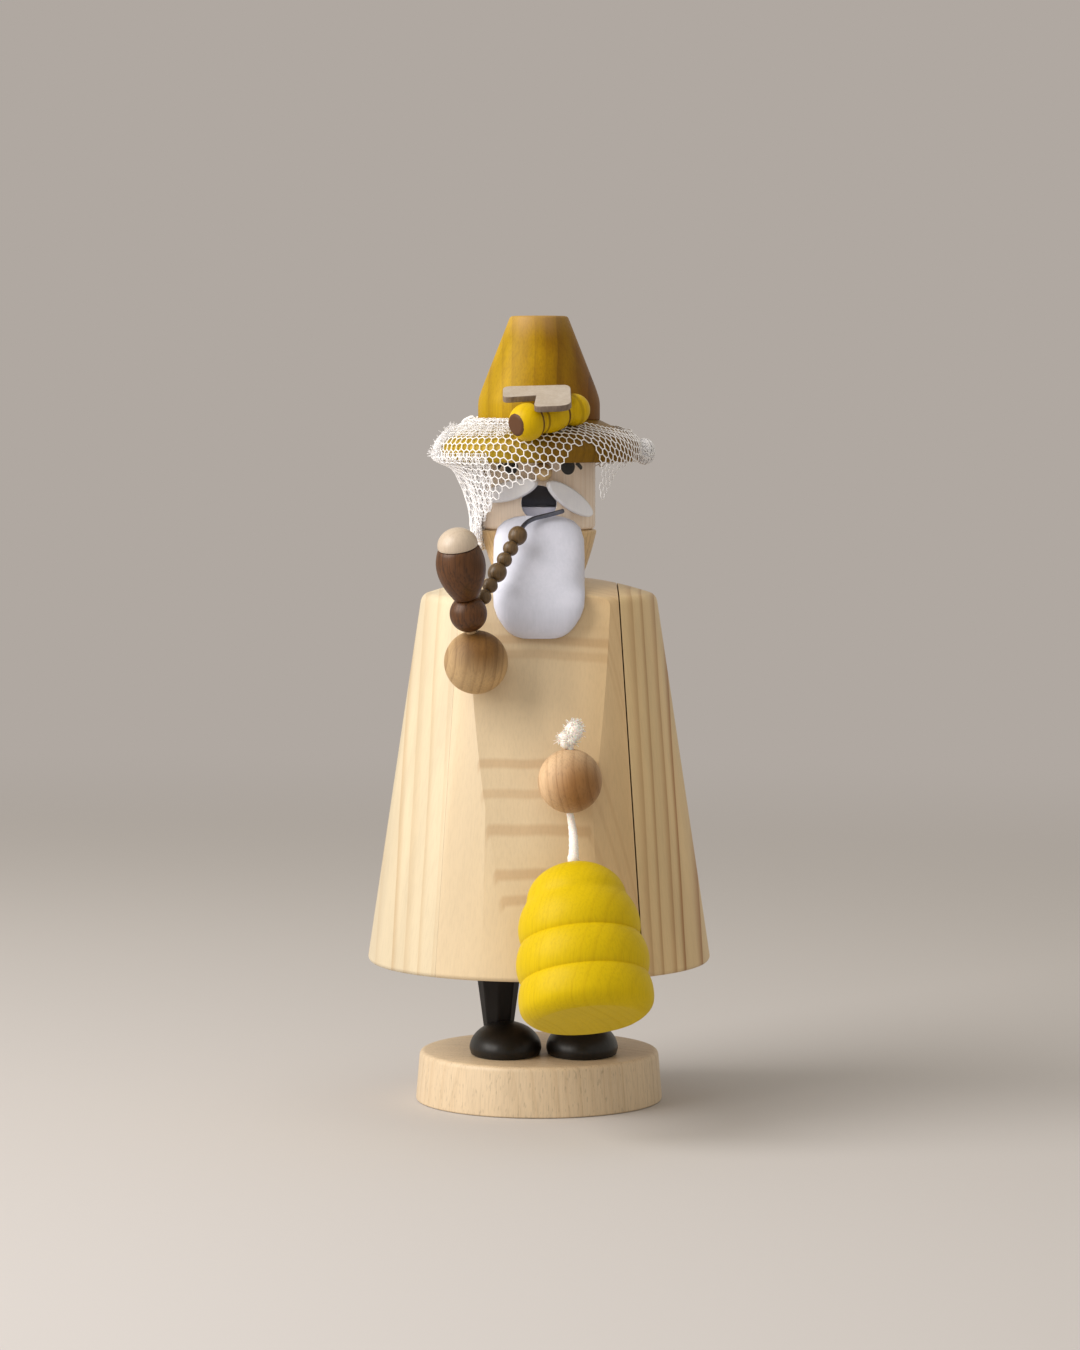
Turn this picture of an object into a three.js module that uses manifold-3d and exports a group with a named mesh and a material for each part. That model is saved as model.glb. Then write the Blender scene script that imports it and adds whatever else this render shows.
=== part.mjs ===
// A turned wooden incense smoker in the shape of a beekeeper, built piece by piece.
// Millimetres, +Z up. The origin is the middle of the base's underside, and the face looks along -Y.

import * as THREE from 'three';
import { mergeVertices } from 'three/addons/utils/BufferGeometryUtils.js';
import Module from 'manifold-3d';

const wasm = await Module();
wasm.setup();

// Clearances
const GLUE_GAP = 0.3;
const LIFT_GAP = 0.3;
const BEAD_GAP = 0.2;
const VEIL_GAP = 0.5;

// Base disc
const BASE_BOTTOM_R = 30;
const BASE_TOP_R = 29;
const BASE_HEIGHT = 12;
const BASE_EDGE_R = 1.2;

// Shoes, each a flattened ball with a flat sole
const SHOE_HALF_WIDTH = 8.7;
const SHOE_HALF_LENGTH = 11;
const SHOE_HEIGHT = 8;
const SHOE_SOLE_ROUND = 1.6;
const SHOE_SOLE_THICKNESS = 4;
const SHOE_Y = -8;
const LEFT_SHOE_X = -8.1;
const RIGHT_SHOE_X = 10.4;

// Legs, eight-sided and tapered
const LEG_X = 9.8;
const LEG_Y = -4;
const LEG_TOP_R = 5.8;
const LEG_FOOT_R = 3.4;
const LEG_LENGTH = 18;
const LEG_SIDES = 8;
const LEG_DOWEL_R = 1.5;
const BASE_DOWEL_DEPTH = 6;
const LEG_DOWEL_DEPTH = 6;
const HEARTH_DOWEL_DEPTH = 5;

// Hearth disc with its ember plate and nail
const HEARTH_FLANGE_R = 21.7;
const HEARTH_FLANGE_HEIGHT = 5;
const HEARTH_SPIGOT_R = 15.2;
const HEARTH_SPIGOT_HEIGHT = 6;
const AIR_HOLE_R = 2.2;
const AIR_HOLE_Y = 11.4;
const PLATE_R = 8.5;
const PLATE_THICKNESS = 0.5;
const PLATE_RIM_HEIGHT = 1.2;
const NAIL_SHANK_R = 0.7;
const NAIL_HEAD_R = 1.7;
const NAIL_HEAD_HEIGHT = 0.7;
const NAIL_DEPTH = 5;

// Coat, a hollow cone with a planed front
const COAT_HEM_R = 41.5;
const COAT_SHOULDER_R = 28.6;
const COAT_SIDE_HEIGHT = 87.6;
const COAT_HEM_ROUND = 2;
const SHOULDER_DOME_R = 24.6;
const SHOULDER_DOME_RISE = 2.5;
const COAT_CROWN_R = 10.7;
const COAT_CROWN_RISE = 5.3;
const SHOULDER_ROUND = { out: 0.6, rise: 1.55 };
const CROWN_ROUND_RISE = 3.65;
const FACET_REACH = 42.05;
const FACET_SLOPE = 0.2165;
const SMOKE_CHAMBER_HEIGHT = 66;
const CHAMBER_NECK_HEIGHT = 10;
const FLUE_R = 5;

// Sleeves, sawn from the same cone
const SAW_HALF_WIDTH = 24.5;
const SAW_SLOPE = 0.0638;
const LEFT_SAW_GAP = 0.12;
const RIGHT_SAW_GAP = 0.45;
const SLEEVE_DOWEL_R = 2;
const SLEEVE_DOWEL_BODY_DEPTH = 3.2;
const SLEEVE_DOWEL_SLEEVE_DEPTH = 6.5;
const SLEEVE_DOWEL_HEIGHTS = { lower: 26, upper: 62 };

// Hands, two bored balls on the planed front
const HAND_R = 7.5;
const PIPE_HAND = { x: -14.75, z: 108.6 };
const HIVE_HAND = { x: 7.25, z: 81.2 };
const HAND_DOWEL_R = 1.5;
const HAND_DOWEL_BALL_DEPTH = 4;
const HAND_DOWEL_COAT_DEPTH = 7;

// Collar and head
const COLLAR_RIM_R = 14;
const COLLAR_HEIGHT = 11.7;
const COLLAR_BELLY = 0.5;
const COLLAR_TENON_R = 7.6;
const COLLAR_TENON_DEPTH = 4;
const NECK_TENON_R = 8;
const NECK_TENON_HEIGHT = 4;
const HEAD_R = 13.6;
const HEAD_HEIGHT = 16.4;
const HEAD_EDGE_R = 1.3;
const HEAD_ROOF = 4.5;
const MOUTH_R = 4.2;
const MOUTH_HEIGHT = 6.7;
const NOSE_R = 2.2;
const NOSE_X = 0.95;
const NOSE_HEIGHT = 14.1;
const NOSE_OUT = 1;

// Moustache halves and beard
const MOUSTACHE_HALF_LENGTH = 7.2;
const MOUSTACHE_HALF_WIDTH = 2.35;
const MOUSTACHE_THICKNESS = 1.6;
const MOUSTACHE_LEFT = { around: -27, height: 9.7, tilt: 16 };
const MOUSTACHE_RIGHT = { around: 30, height: 7.7, tilt: -33 };
const BEARD_BACK = 12;
const BEARD_SQUARENESS = 3;
const BEARD_STEPS = 14;
const BEARD_HALF_WIDTH = 10.8;
const BEARD_LENGTH = 24.9;
const BEARD_THICKNESS = 5.7;
// Shares of the three sizes above. Fronts are counted from the head's round or from the coat's planed front.
const BEARD_LEVELS = [
  { rise: 0.1486, halfWidth: 0.4167, over: 'head', front: 0.2807 },
  { rise: 0.1245, halfWidth: 0.6759, over: 'head', front: 0.386 },
  { rise: 0.0803, halfWidth: 0.8333, over: 'head', front: 0.4737 },
  { rise: 0.012, halfWidth: 0.9537, over: 'head', front: 0.5965 },
  { rise: -0.0803, halfWidth: 1, over: 'head', front: 0.7895 },
  { rise: -0.241, halfWidth: 1, over: 'head', front: 1.2632 },
  { rise: -0.4016, halfWidth: 1, over: 'coat', front: 0.4265 },
  { rise: -0.5622, halfWidth: 1, over: 'coat', front: 0.8009 },
  { rise: -0.7028, halfWidth: 1, over: 'coat', front: 1.0013 },
  { rise: -0.8153, halfWidth: 0.9444, over: 'coat', front: 0.9651 },
  { rise: -0.9076, halfWidth: 0.8333, over: 'coat', front: 0.7725 },
  { rise: -0.9639, halfWidth: 0.6944, over: 'coat', front: 0.5965 },
  { rise: -1, halfWidth: 0.4537, over: 'coat', front: 0.3167 },
];

// Hat
const BRIM_R = 24.5;
const BRIM_HEIGHT = 10;
const BRIM_LIP_HEIGHT = 2.6;
const BRIM_UNDER_R = 23.8;
const BRIM_EDGE_DROP = 4.6;
const BRIM_EDGE_STEPS = 4;
const BRIM_SLOPE_R = 21.4;
const BRIM_SLOPE_DROP = 3.3;
const CROWN_R = 14.7;
const CROWN_WALL_HEIGHT = 5.2;
const CROWN_HEIGHT = 25;
const CROWN_TOP_R = 6.9;
const CROWN_SHOULDER_DROP = 2.2;
const CROWN_SHOULDER_ROUND = 0.25;
const HAT_DOWEL_R = 3;
const HAT_DOWEL_HEAD_DEPTH = 3;
const HAT_DOWEL_CROWN_DEPTH = 7;

// Veil, a net laid over the brim and gathered behind the head
const VEIL_THICKNESS = 0.5;
const VEIL_START_OUT = 0.5;
const VEIL_DROP = 24;
const VEIL_FOLD_DEPTH = 0.7;
const VEIL_FOLDS = 10;
const VEIL_STEPS_ROUND = 40;
const VEIL_STEPS_DOWN = 11;
const VEIL_HANG_STEPS = 6;
const VEIL_FULL_FOLD_DROP = 6;

// Bee
const BEE_HEAD_R = 4.5;
const BEE_TAIL_R = 3.85;
const BEE_WAIST = [{ along: 5, radius: 3.7 }, { along: 7.4, radius: 4 }, { along: 9.8, radius: 3.8 }];
const BEE_FACE_R = 2.15;
const BEE_LENGTH = 14.8;
const BEE_END_ANGLE = 52;
const BEE_TAIL_OUT = { x: 8.3, y: -16.8, rise: 2.5 };
const BEE_HEAD_TURN = 41;
const BEE_HEAD_DROP = 11;
const BEE_PIN_R = 0.7;
const BEE_PIN_DEPTH = 6;
const BEE_PIN_RISE = 2.7;
const BEE_PIN_ALONG = 4;
const WING_LENGTH = 16.6;
const WING_WIDTH = 12.4;
const WING_THICKNESS = 1.5;
const WING_NOTCH_DEPTH = 8.2;
const WING_NOTCH_WIDTH = 5.4;
const WING_ALONG = 12.4;
const WING_LIFT = 0.9;
const WING_ROLL = 27;
const WING_PITCH = 9;
const WING_PIN_R = 0.6;
const WING_PIN_DEPTH = 2;

// Pipe
const PIPE_LEAN_LEFT = 8.4;
const PIPE_LEAN_FORWARD = 17;
const PIPE_BALL_R = 4.4;
const BOWL_FOOT_R = 3.3;
const BOWL_R = 5.7;
const BOWL_RIM_R = 4.85;
const BOWL_HEIGHT = 11.4;
const BOWL_WIDEST_HEIGHT = 7.1;
const BOWL_FOOT_BEVEL = { in: 0.5, rise: 0.9 };
const BOWL_SEAT_DEPTH = 0.9;
const CAP_R = 4.75;
const CAP_HEIGHT = 5.6;
const PIPE_PEG_R = 1.2;
const PIPE_PEG_HAND_DEPTH = 4;
const PIPE_PEG_BOWL_DEPTH = 4;
const CAP_TENON_R = 2;
const CAP_TENON_DEPTH = 3;

// Pipe wire and its beads
const WIRE_R = 0.5;
const WIRE_BORE_GAP = 0.3;
const WIRE_LEAD = 0.3;
// The bead row's end, in ball radii from the pipe ball's middle, and the mouth-side point that it aims at.
const BEAD_ROW_END = { x: 0.8064, y: 1.0773, rise: 0.8364 };
const BEAD_ROW_AIM = { x: -1.2, out: 2.119, rise: -1.7857 };
const BEAD_KINDS = {
  round: { radius: 2.25, length: 4.3, steps: 6, point: 1 },
  small: { radius: 1.85, length: 3.3, steps: 4, point: 1.35 },
};
const BEAD_ORDER = ['round', 'small', 'small', 'round', 'small', 'small'];
const WIRE_MOUTHPIECE = [
  { x: 1.4286, out: 0.7857, rise: -0.4048 },
  { x: 0.8571, out: 0.7857, rise: -0.5714 },
  { x: 0.2857, out: 0.8095, rise: -0.7143 },
  { x: -0.2857, out: 0.9524, rise: -0.8571 },
  { x: -0.6905, out: 1.2619, rise: -1.0714 },
];
const WIRE_BALL_DEPTH = 2.2;
const WIRE_HOLE_REACH = 3;

// Hive, its cord and the knot
const HIVE_HANG = { x: 0.65, out: 7.8, drop: 18.6 };
const HIVE_LEAN_SIDE = 5.7;
const HIVE_LEAN_OUT = 24;
const HIVE_DOME_R = 11.6;
const HIVE_DOME_HEIGHT = 9;
const HIVE_R = 14.5;
const HIVE_BAND_HEIGHT = 9.4;
const HIVE_BAND_EDGES = [
  { bands: 0, share: 0.807 },
  { bands: 1, share: 0.938 },
  { bands: 2, share: 1 },
  { bands: 3.04, share: 0.972 },
];
const HIVE_BAND_SWELL = 1.3;
const HIVE_BAND_FULLNESS = 0.75;
const HIVE_BAND_STEPS = 5;
const CORD_R = 1;
const CORD_BORE_GAP = 0.35;
const CORD_SIDES = 8;
const CORD_STEPS = 5;
const CORD_HIVE_DEPTH = 8;
const CORD_BEND_ROOM = 1;
const KNOT_R = 3.1;
const KNOT_HEIGHT = 6.6;
const KNOT_OUTLINE = [
  { rise: 0, radius: 0.742 },
  { rise: 0.303, radius: 1 },
  { rise: 0.606, radius: 0.839 },
  { rise: 0.848, radius: 0.903 },
  { rise: 1, radius: 0.613 },
];

// Fineness of the turned surfaces
const FINE = 48;
const MEDIUM = 28;
const SMALL = 18;
const TINY = 10;
const PIN_SIDES = 8;
const BALL_ROW_SHARE = 0.6;
const WIRE_SIDES = 6;
const WIRE_STEPS = 36;
const WELD = 1e-4;
const OVERCUT = 1;
const FAR = 200;

// Levels worked out from the sizes above
const SHOE_FLOOR = BASE_HEIGHT + SHOE_SOLE_THICKNESS;
const HEM = SHOE_FLOOR + LEG_LENGTH;
const FLANGE_TOP = HEM + HEARTH_FLANGE_HEIGHT;
const HEARTH_TOP = FLANGE_TOP + HEARTH_SPIGOT_HEIGHT;
const CHAMBER_R = HEARTH_SPIGOT_R + LIFT_GAP;
const CHAMBER_TOP = HEM + SMOKE_CHAMBER_HEIGHT;
const SHOULDER = HEM + COAT_SIDE_HEIGHT;
const COAT_TOP = SHOULDER + COAT_CROWN_RISE;
const HEAD_FLOOR = COAT_TOP + COLLAR_HEIGHT;
const HEAD_TOP = HEAD_FLOOR + HEAD_HEIGHT;
const BRIM_TOP = HEAD_TOP + BRIM_HEIGHT;
const FACET_ANGLE = Math.atan(FACET_SLOPE);
const FACET_NORMAL = new THREE.Vector3(0, -Math.cos(FACET_ANGLE), Math.sin(FACET_ANGLE));

// Finishes
const finish = (color, roughness, metalness = 0) => new THREE.MeshStandardMaterial({ color, roughness, metalness });
const PINE = finish(0xe2c79b, 0.62);
const BEECH = finish(0xb98f60, 0.55);
const BASE_WOOD = finish(0xdcc59c, 0.6);
const HEAD_WOOD = finish(0xe6d2b4, 0.6);
const DARK_WOOD = finish(0x553f2c, 0.5);
const BLACK_PAINT = finish(0x211d1c, 0.42);
const WHITE_PAINT = finish(0xdedede, 0.5);
const BEARD_WHITE = finish(0xe6e4e2, 0.6);
const HIVE_YELLOW = finish(0xe6cb1a, 0.5);
const BEE_YELLOW = finish(0xe4c517, 0.45);
const HAT_STAIN = finish(0xc7951f, 0.5);
const WING_PLY = finish(0xc9c1b7, 0.6);
const CAP_WOOD = finish(0xdcc8a8, 0.5);
const NET_WHITE = finish(0xf2f2f2, 0.8);
const COTTON = finish(0xf0eeea, 0.9);
const STEEL_WIRE = finish(0x6f7178, 0.35, 0.9);
const BRASS_PLATE = finish(0xb99b58, 0.4, 0.9);

const figure = new THREE.Group();

// Adds one named piece to a group.
function addPiece(parent, name, geometry, material) {
  const mesh = new THREE.Mesh(geometry, material);
  mesh.name = name;
  parent.add(mesh);
  return mesh;
}

// Turns a closed geometry into a solid that can be cut.
function toSolid(geometry) {
  const bare = geometry.clone();
  bare.deleteAttribute('normal');
  bare.deleteAttribute('uv');
  const welded = mergeVertices(bare, WELD);
  const index = welded.index.array;
  const kept = [];
  for (let i = 0; i < index.length; i += 3) {
    const [a, b, c] = [index[i], index[i + 1], index[i + 2]];
    if (a !== b && b !== c && c !== a) {
      kept.push(a, b, c);
    }
  }
  const vertProperties = new Float32Array(welded.attributes.position.array);
  return new wasm.Manifold(new wasm.Mesh({ numProp: 3, vertProperties, triVerts: new Uint32Array(kept) }));
}

// Turns a solid back into a geometry.
function toGeometry(solid) {
  const mesh = solid.getMesh();
  const geometry = new THREE.BufferGeometry();
  geometry.setAttribute('position', new THREE.BufferAttribute(mesh.vertProperties, 3));
  geometry.setIndex(new THREE.BufferAttribute(mesh.triVerts, 1));
  geometry.computeVertexNormals();
  return geometry;
}

// Cuts a list of geometries out of a geometry.
function cut(geometry, ...tools) {
  let solid = toSolid(geometry);
  for (const tool of tools) {
    solid = solid.subtract(toSolid(tool));
  }
  return toGeometry(solid);
}

// Turns an outline of radius and height about the Z axis.
function turned(outline, sides) {
  const points = outline.map(([radius, height]) => new THREE.Vector2(radius, height));
  return new THREE.LatheGeometry(points, sides).rotateX(Math.PI / 2);
}

// A round rod that stands on the Z axis between two heights.
function rod(radius, low, high, sides = SMALL) {
  return turned([[0, low], [radius, low], [radius, high], [0, high]], sides);
}

// Points on an arc, from one angle to another in degrees.
function arc(centreR, centreZ, radius, from, to, steps) {
  return Array.from({ length: steps + 1 }, (_, i) => {
    const angle = THREE.MathUtils.degToRad(from + ((to - from) * i) / steps);
    return [centreR + radius * Math.cos(angle), centreZ + radius * Math.sin(angle)];
  });
}

// Points on a quarter of an ellipse that ends on the axis at its top.
function domeOutline(radius, low, rise, steps) {
  return Array.from({ length: steps + 1 }, (_, i) => {
    const angle = (Math.PI / 2) * (i / steps);
    return [i === steps ? 0 : radius * Math.cos(angle), low + rise * Math.sin(angle)];
  });
}

// A ball about a point.
function ball(radius, sides) {
  return new THREE.SphereGeometry(radius, sides, Math.round(sides * BALL_ROW_SHARE)).rotateX(Math.PI / 2);
}

// Turns a geometry's Z axis to a direction and moves it to a place.
function aim(geometry, place, direction) {
  const turn = new THREE.Quaternion().setFromUnitVectors(new THREE.Vector3(0, 0, 1), direction);
  return geometry.applyQuaternion(turn).translate(place.x, place.y, place.z);
}

// A group whose Z axis points along a direction from a place.
function aimedGroup(place, direction) {
  const group = new THREE.Group();
  group.position.copy(place);
  group.quaternion.setFromUnitVectors(new THREE.Vector3(0, 0, 1), direction);
  return group;
}

// How far forward the planed front lies at a height.
const facetY = (height) => -(FACET_REACH - (height - HEM) * FACET_SLOPE);

// How far from the middle the saw cut lies at a height.
const sawX = (height) => SAW_HALF_WIDTH - (height - HEM) * SAW_SLOPE;

// The middle of a hand, which touches the planed front.
function handCentre({ x, z }) {
  const touch = (HAND_R + GLUE_GAP) / Math.cos(FACET_ANGLE);
  return new THREE.Vector3(x, facetY(z) - touch, z);
}

// Base, shoes and legs

function legShape(grow) {
  const leg = new THREE.CylinderGeometry(LEG_TOP_R + grow, LEG_FOOT_R + grow, LEG_LENGTH, LEG_SIDES);
  return leg.rotateX(Math.PI / 2).translate(0, LEG_Y, SHOE_FLOOR + LEG_LENGTH / 2);
}

function buildStand() {
  const stand = new THREE.Group();
  const dowelHole = rod(LEG_DOWEL_R + GLUE_GAP, BASE_HEIGHT - BASE_DOWEL_DEPTH, SHOE_FLOOR + LEG_DOWEL_DEPTH);
  const topHole = rod(LEG_DOWEL_R + GLUE_GAP, HEM - LEG_DOWEL_DEPTH, HEM + HEARTH_DOWEL_DEPTH);
  const sides = [
    { side: 'left', shoeX: LEFT_SHOE_X, legX: -LEG_X },
    { side: 'right', shoeX: RIGHT_SHOE_X, legX: LEG_X },
  ];
  const holes = sides.map(({ legX }) => dowelHole.clone().translate(legX, LEG_Y, 0));
  const topHoles = sides.map(({ legX }) => topHole.clone().translate(legX, LEG_Y, 0));

  const edge = arc(BASE_TOP_R - BASE_EDGE_R, BASE_HEIGHT - BASE_EDGE_R, BASE_EDGE_R, 0, 90, 3);
  const disc = turned([[0, 0], [BASE_BOTTOM_R, 0], ...edge, [0, BASE_HEIGHT]], FINE);
  addPiece(stand, 'base_disc', cut(disc, ...holes), BASE_WOOD);

  const soleR = SHOE_HALF_WIDTH - SHOE_SOLE_ROUND / 2;
  const dome = domeOutline(SHOE_HALF_WIDTH, SHOE_SOLE_ROUND, SHOE_HEIGHT - SHOE_SOLE_ROUND, 5);
  const shoe = turned([[0, 0], [soleR, 0], ...dome], SMALL);
  shoe.scale(1, SHOE_HALF_LENGTH / SHOE_HALF_WIDTH, 1).translate(0, SHOE_Y, BASE_HEIGHT);

  sides.forEach(({ side, shoeX, legX }, i) => {
    const socket = legShape(GLUE_GAP).translate(legX, 0, 0);
    addPiece(stand, `shoe_${side}`, cut(shoe.clone().translate(shoeX, 0, 0), socket, holes[i]), BLACK_PAINT);
    const leg = legShape(0).translate(legX, 0, 0);
    addPiece(stand, `leg_${side}`, cut(leg, holes[i], topHoles[i]), BLACK_PAINT);
    const lowDowel = rod(LEG_DOWEL_R, BASE_HEIGHT - BASE_DOWEL_DEPTH, SHOE_FLOOR + LEG_DOWEL_DEPTH, TINY);
    addPiece(stand, `foot_dowel_${side}`, lowDowel.translate(legX, LEG_Y, 0), BEECH);
    const topDowel = rod(LEG_DOWEL_R, HEM - LEG_DOWEL_DEPTH, HEM + HEARTH_DOWEL_DEPTH, TINY);
    addPiece(stand, `hip_dowel_${side}`, topDowel.translate(legX, LEG_Y, 0), BEECH);
  });

  const hearth = turned([
    [0, HEM], [HEARTH_FLANGE_R, HEM], [HEARTH_FLANGE_R, FLANGE_TOP],
    [HEARTH_SPIGOT_R, FLANGE_TOP], [HEARTH_SPIGOT_R, HEARTH_TOP], [0, HEARTH_TOP],
  ], MEDIUM);
  const airHole = rod(AIR_HOLE_R, HEM - OVERCUT, HEARTH_TOP + OVERCUT, TINY).translate(0, AIR_HOLE_Y, 0);
  const nailHole = rod(NAIL_SHANK_R + GLUE_GAP, HEARTH_TOP - NAIL_DEPTH, HEARTH_TOP + OVERCUT, TINY);
  addPiece(stand, 'hearth_disc', cut(hearth, airHole, nailHole, ...topHoles), BEECH);

  const plateTop = HEARTH_TOP + PLATE_THICKNESS;
  const plate = turned([
    [0, HEARTH_TOP], [PLATE_R, HEARTH_TOP], [PLATE_R, HEARTH_TOP + PLATE_RIM_HEIGHT],
    [PLATE_R - PLATE_THICKNESS, HEARTH_TOP + PLATE_RIM_HEIGHT], [PLATE_R - PLATE_THICKNESS, plateTop], [0, plateTop],
  ], SMALL);
  addPiece(stand, 'ember_plate', cut(plate, nailHole), BRASS_PLATE);

  const nail = turned([
    [0, HEARTH_TOP - NAIL_DEPTH], [NAIL_SHANK_R, HEARTH_TOP - NAIL_DEPTH], [NAIL_SHANK_R, plateTop],
    [NAIL_HEAD_R, plateTop], [NAIL_HEAD_R, plateTop + NAIL_HEAD_HEIGHT / 2], [0, plateTop + NAIL_HEAD_HEIGHT],
  ], TINY);
  addPiece(stand, 'ember_plate_nail', nail, STEEL_WIRE);
  return stand;
}

// Coat with its sleeves

function coatBlank(grow) {
  const shoulderR = (COAT_SHOULDER_R + SHOULDER_DOME_R) / 2;
  const hem = arc(COAT_HEM_R - COAT_HEM_ROUND + grow, HEM + COAT_HEM_ROUND - grow, COAT_HEM_ROUND, -90, 0, 3);
  const outline = [
    [0, HEM - grow], ...hem, [COAT_SHOULDER_R + grow, SHOULDER],
    [shoulderR + SHOULDER_ROUND.out + grow, SHOULDER + SHOULDER_ROUND.rise + grow],
    [SHOULDER_DOME_R, SHOULDER + SHOULDER_DOME_RISE + grow],
    [(SHOULDER_DOME_R + COAT_CROWN_R) / 2, SHOULDER + CROWN_ROUND_RISE + grow],
    [COAT_CROWN_R, COAT_TOP + grow], [0, COAT_TOP + grow],
  ];
  const front = new THREE.BoxGeometry(FAR, FAR, FAR).translate(0, -FAR / 2, 0).rotateX(-FACET_ANGLE);
  front.translate(0, facetY(HEM) - grow / Math.cos(FACET_ANGLE), HEM);
  return toSolid(turned(outline, FINE)).subtract(toSolid(front));
}

// The wood outside a saw cut, on one side.
function outsideSaw(sign, gap) {
  const angle = Math.atan(SAW_SLOPE);
  const block = new THREE.BoxGeometry(FAR, FAR, FAR).translate(sign * FAR / 2, 0, 0).rotateY(-sign * angle);
  return toSolid(block.translate(sign * (sawX(HEM) + gap), 0, HEM));
}

function sleeveDowel(sign, height, radius, gap) {
  const x = sawX(height);
  const shape = rod(radius, x - SLEEVE_DOWEL_BODY_DEPTH - gap, x + SLEEVE_DOWEL_SLEEVE_DEPTH + gap, TINY);
  return shape.rotateY(sign * Math.PI / 2).translate(0, 0, height);
}

function handDowel(hand, radius, gap) {
  const inBall = HAND_R - HAND_DOWEL_BALL_DEPTH - gap;
  const inCoat = HAND_R + GLUE_GAP + HAND_DOWEL_COAT_DEPTH + gap;
  return aim(rod(radius, inBall, inCoat, TINY), handCentre(hand), FACET_NORMAL.clone().negate());
}

function buildCoat() {
  const coat = new THREE.Group();
  const blank = coatBlank(0);
  const hollow = turned([
    [0, HEM - OVERCUT], [HEARTH_FLANGE_R + LIFT_GAP, HEM - OVERCUT],
    [HEARTH_FLANGE_R + LIFT_GAP, FLANGE_TOP + LIFT_GAP], [CHAMBER_R, FLANGE_TOP + LIFT_GAP],
    [CHAMBER_R, CHAMBER_TOP], [FLUE_R, CHAMBER_TOP + CHAMBER_NECK_HEIGHT], [FLUE_R, COAT_TOP - COLLAR_TENON_DEPTH],
    [COLLAR_TENON_R + GLUE_GAP, COAT_TOP - COLLAR_TENON_DEPTH], [COLLAR_TENON_R + GLUE_GAP, COAT_TOP + OVERCUT],
    [0, COAT_TOP + OVERCUT],
  ], MEDIUM);
  const sleeves = [
    { side: 'left', sign: -1, gap: LEFT_SAW_GAP },
    { side: 'right', sign: 1, gap: RIGHT_SAW_GAP },
  ];
  const handHoles = [PIPE_HAND, HIVE_HAND].map((hand) => handDowel(hand, HAND_DOWEL_R + GLUE_GAP, GLUE_GAP));
  let body = blank.subtract(toSolid(hollow));
  for (const hole of handHoles) {
    body = body.subtract(toSolid(hole));
  }
  for (const { side, sign, gap } of sleeves) {
    let sleeve = blank.intersect(outsideSaw(sign, gap));
    body = body.subtract(outsideSaw(sign, 0));
    for (const [level, rise] of Object.entries(SLEEVE_DOWEL_HEIGHTS)) {
      const hole = toSolid(sleeveDowel(sign, HEM + rise, SLEEVE_DOWEL_R + GLUE_GAP, GLUE_GAP));
      sleeve = sleeve.subtract(hole);
      body = body.subtract(hole);
      const dowel = sleeveDowel(sign, HEM + rise, SLEEVE_DOWEL_R, 0);
      addPiece(coat, `sleeve_dowel_${side}_${level}`, dowel, BEECH);
    }
    addPiece(coat, `sleeve_${side}`, toGeometry(sleeve), PINE);
  }
  addPiece(coat, 'coat_body', toGeometry(body), PINE);
  return coat;
}

// Collar, head and face

function collarOutline(grow) {
  const middle = (COAT_CROWN_R + COLLAR_RIM_R) / 2 + COLLAR_BELLY + grow;
  return [
    [COAT_CROWN_R - GLUE_GAP + grow, COAT_TOP - grow], [middle, COAT_TOP + COLLAR_HEIGHT / 2],
    [COLLAR_RIM_R + grow, HEAD_FLOOR + grow],
  ];
}

function moustacheShape() {
  const outline = new THREE.Shape();
  outline.absellipse(0, 0, MOUSTACHE_HALF_LENGTH, MOUSTACHE_HALF_WIDTH, 0, 2 * Math.PI);
  return new THREE.ExtrudeGeometry(outline, { depth: MOUSTACHE_THICKNESS, bevelEnabled: false, curveSegments: 16 });
}

// A half stands on its edge, flat against the cheek.
function moustacheHalf({ around, height, tilt }) {
  const half = moustacheShape().rotateZ(THREE.MathUtils.degToRad(tilt)).rotateX(Math.PI / 2);
  half.translate(0, -(HEAD_R + GLUE_GAP), 0).rotateZ(THREE.MathUtils.degToRad(around));
  return half.translate(0, 0, HEAD_FLOOR + height);
}

// A block carved level by level, each a rounded half oval from its back plane forwards.
function beardBlock() {
  const steps = BEARD_STEPS;
  const levels = BEARD_LEVELS.length - 1;
  const power = 2 / BEARD_SQUARENESS;
  const positions = [];
  for (const level of BEARD_LEVELS) {
    const height = HEAD_FLOOR + level.rise * BEARD_LENGTH;
    const behind = level.over === 'head' ? HEAD_R : -facetY(height);
    const front = behind + level.front * BEARD_THICKNESS;
    const halfWidth = level.halfWidth * BEARD_HALF_WIDTH;
    for (let j = 0; j <= steps; j += 1) {
      const angle = (Math.PI * j) / steps;
      const x = Math.sign(Math.cos(angle)) * halfWidth * Math.abs(Math.cos(angle)) ** power;
      const y = -BEARD_BACK - (front - BEARD_BACK) * Math.abs(Math.sin(angle)) ** power;
      positions.push(x, y, height);
    }
  }
  const row = steps + 1;
  const index = [];
  for (let i = 0; i < levels; i += 1) {
    for (let j = 0; j <= steps; j += 1) {
      const next = (j + 1) % row;
      const [a, b, c, d] = [i * row + j, i * row + next, (i + 1) * row + next, (i + 1) * row + j];
      index.push(a, b, c, a, c, d);
    }
  }
  for (let j = 1; j < steps; j += 1) {
    index.push(0, j + 1, j);
    index.push(levels * row, levels * row + j, levels * row + j + 1);
  }
  const geometry = new THREE.BufferGeometry();
  geometry.setAttribute('position', new THREE.Float32BufferAttribute(positions, 3));
  geometry.setIndex(index);
  return geometry;
}

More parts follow.
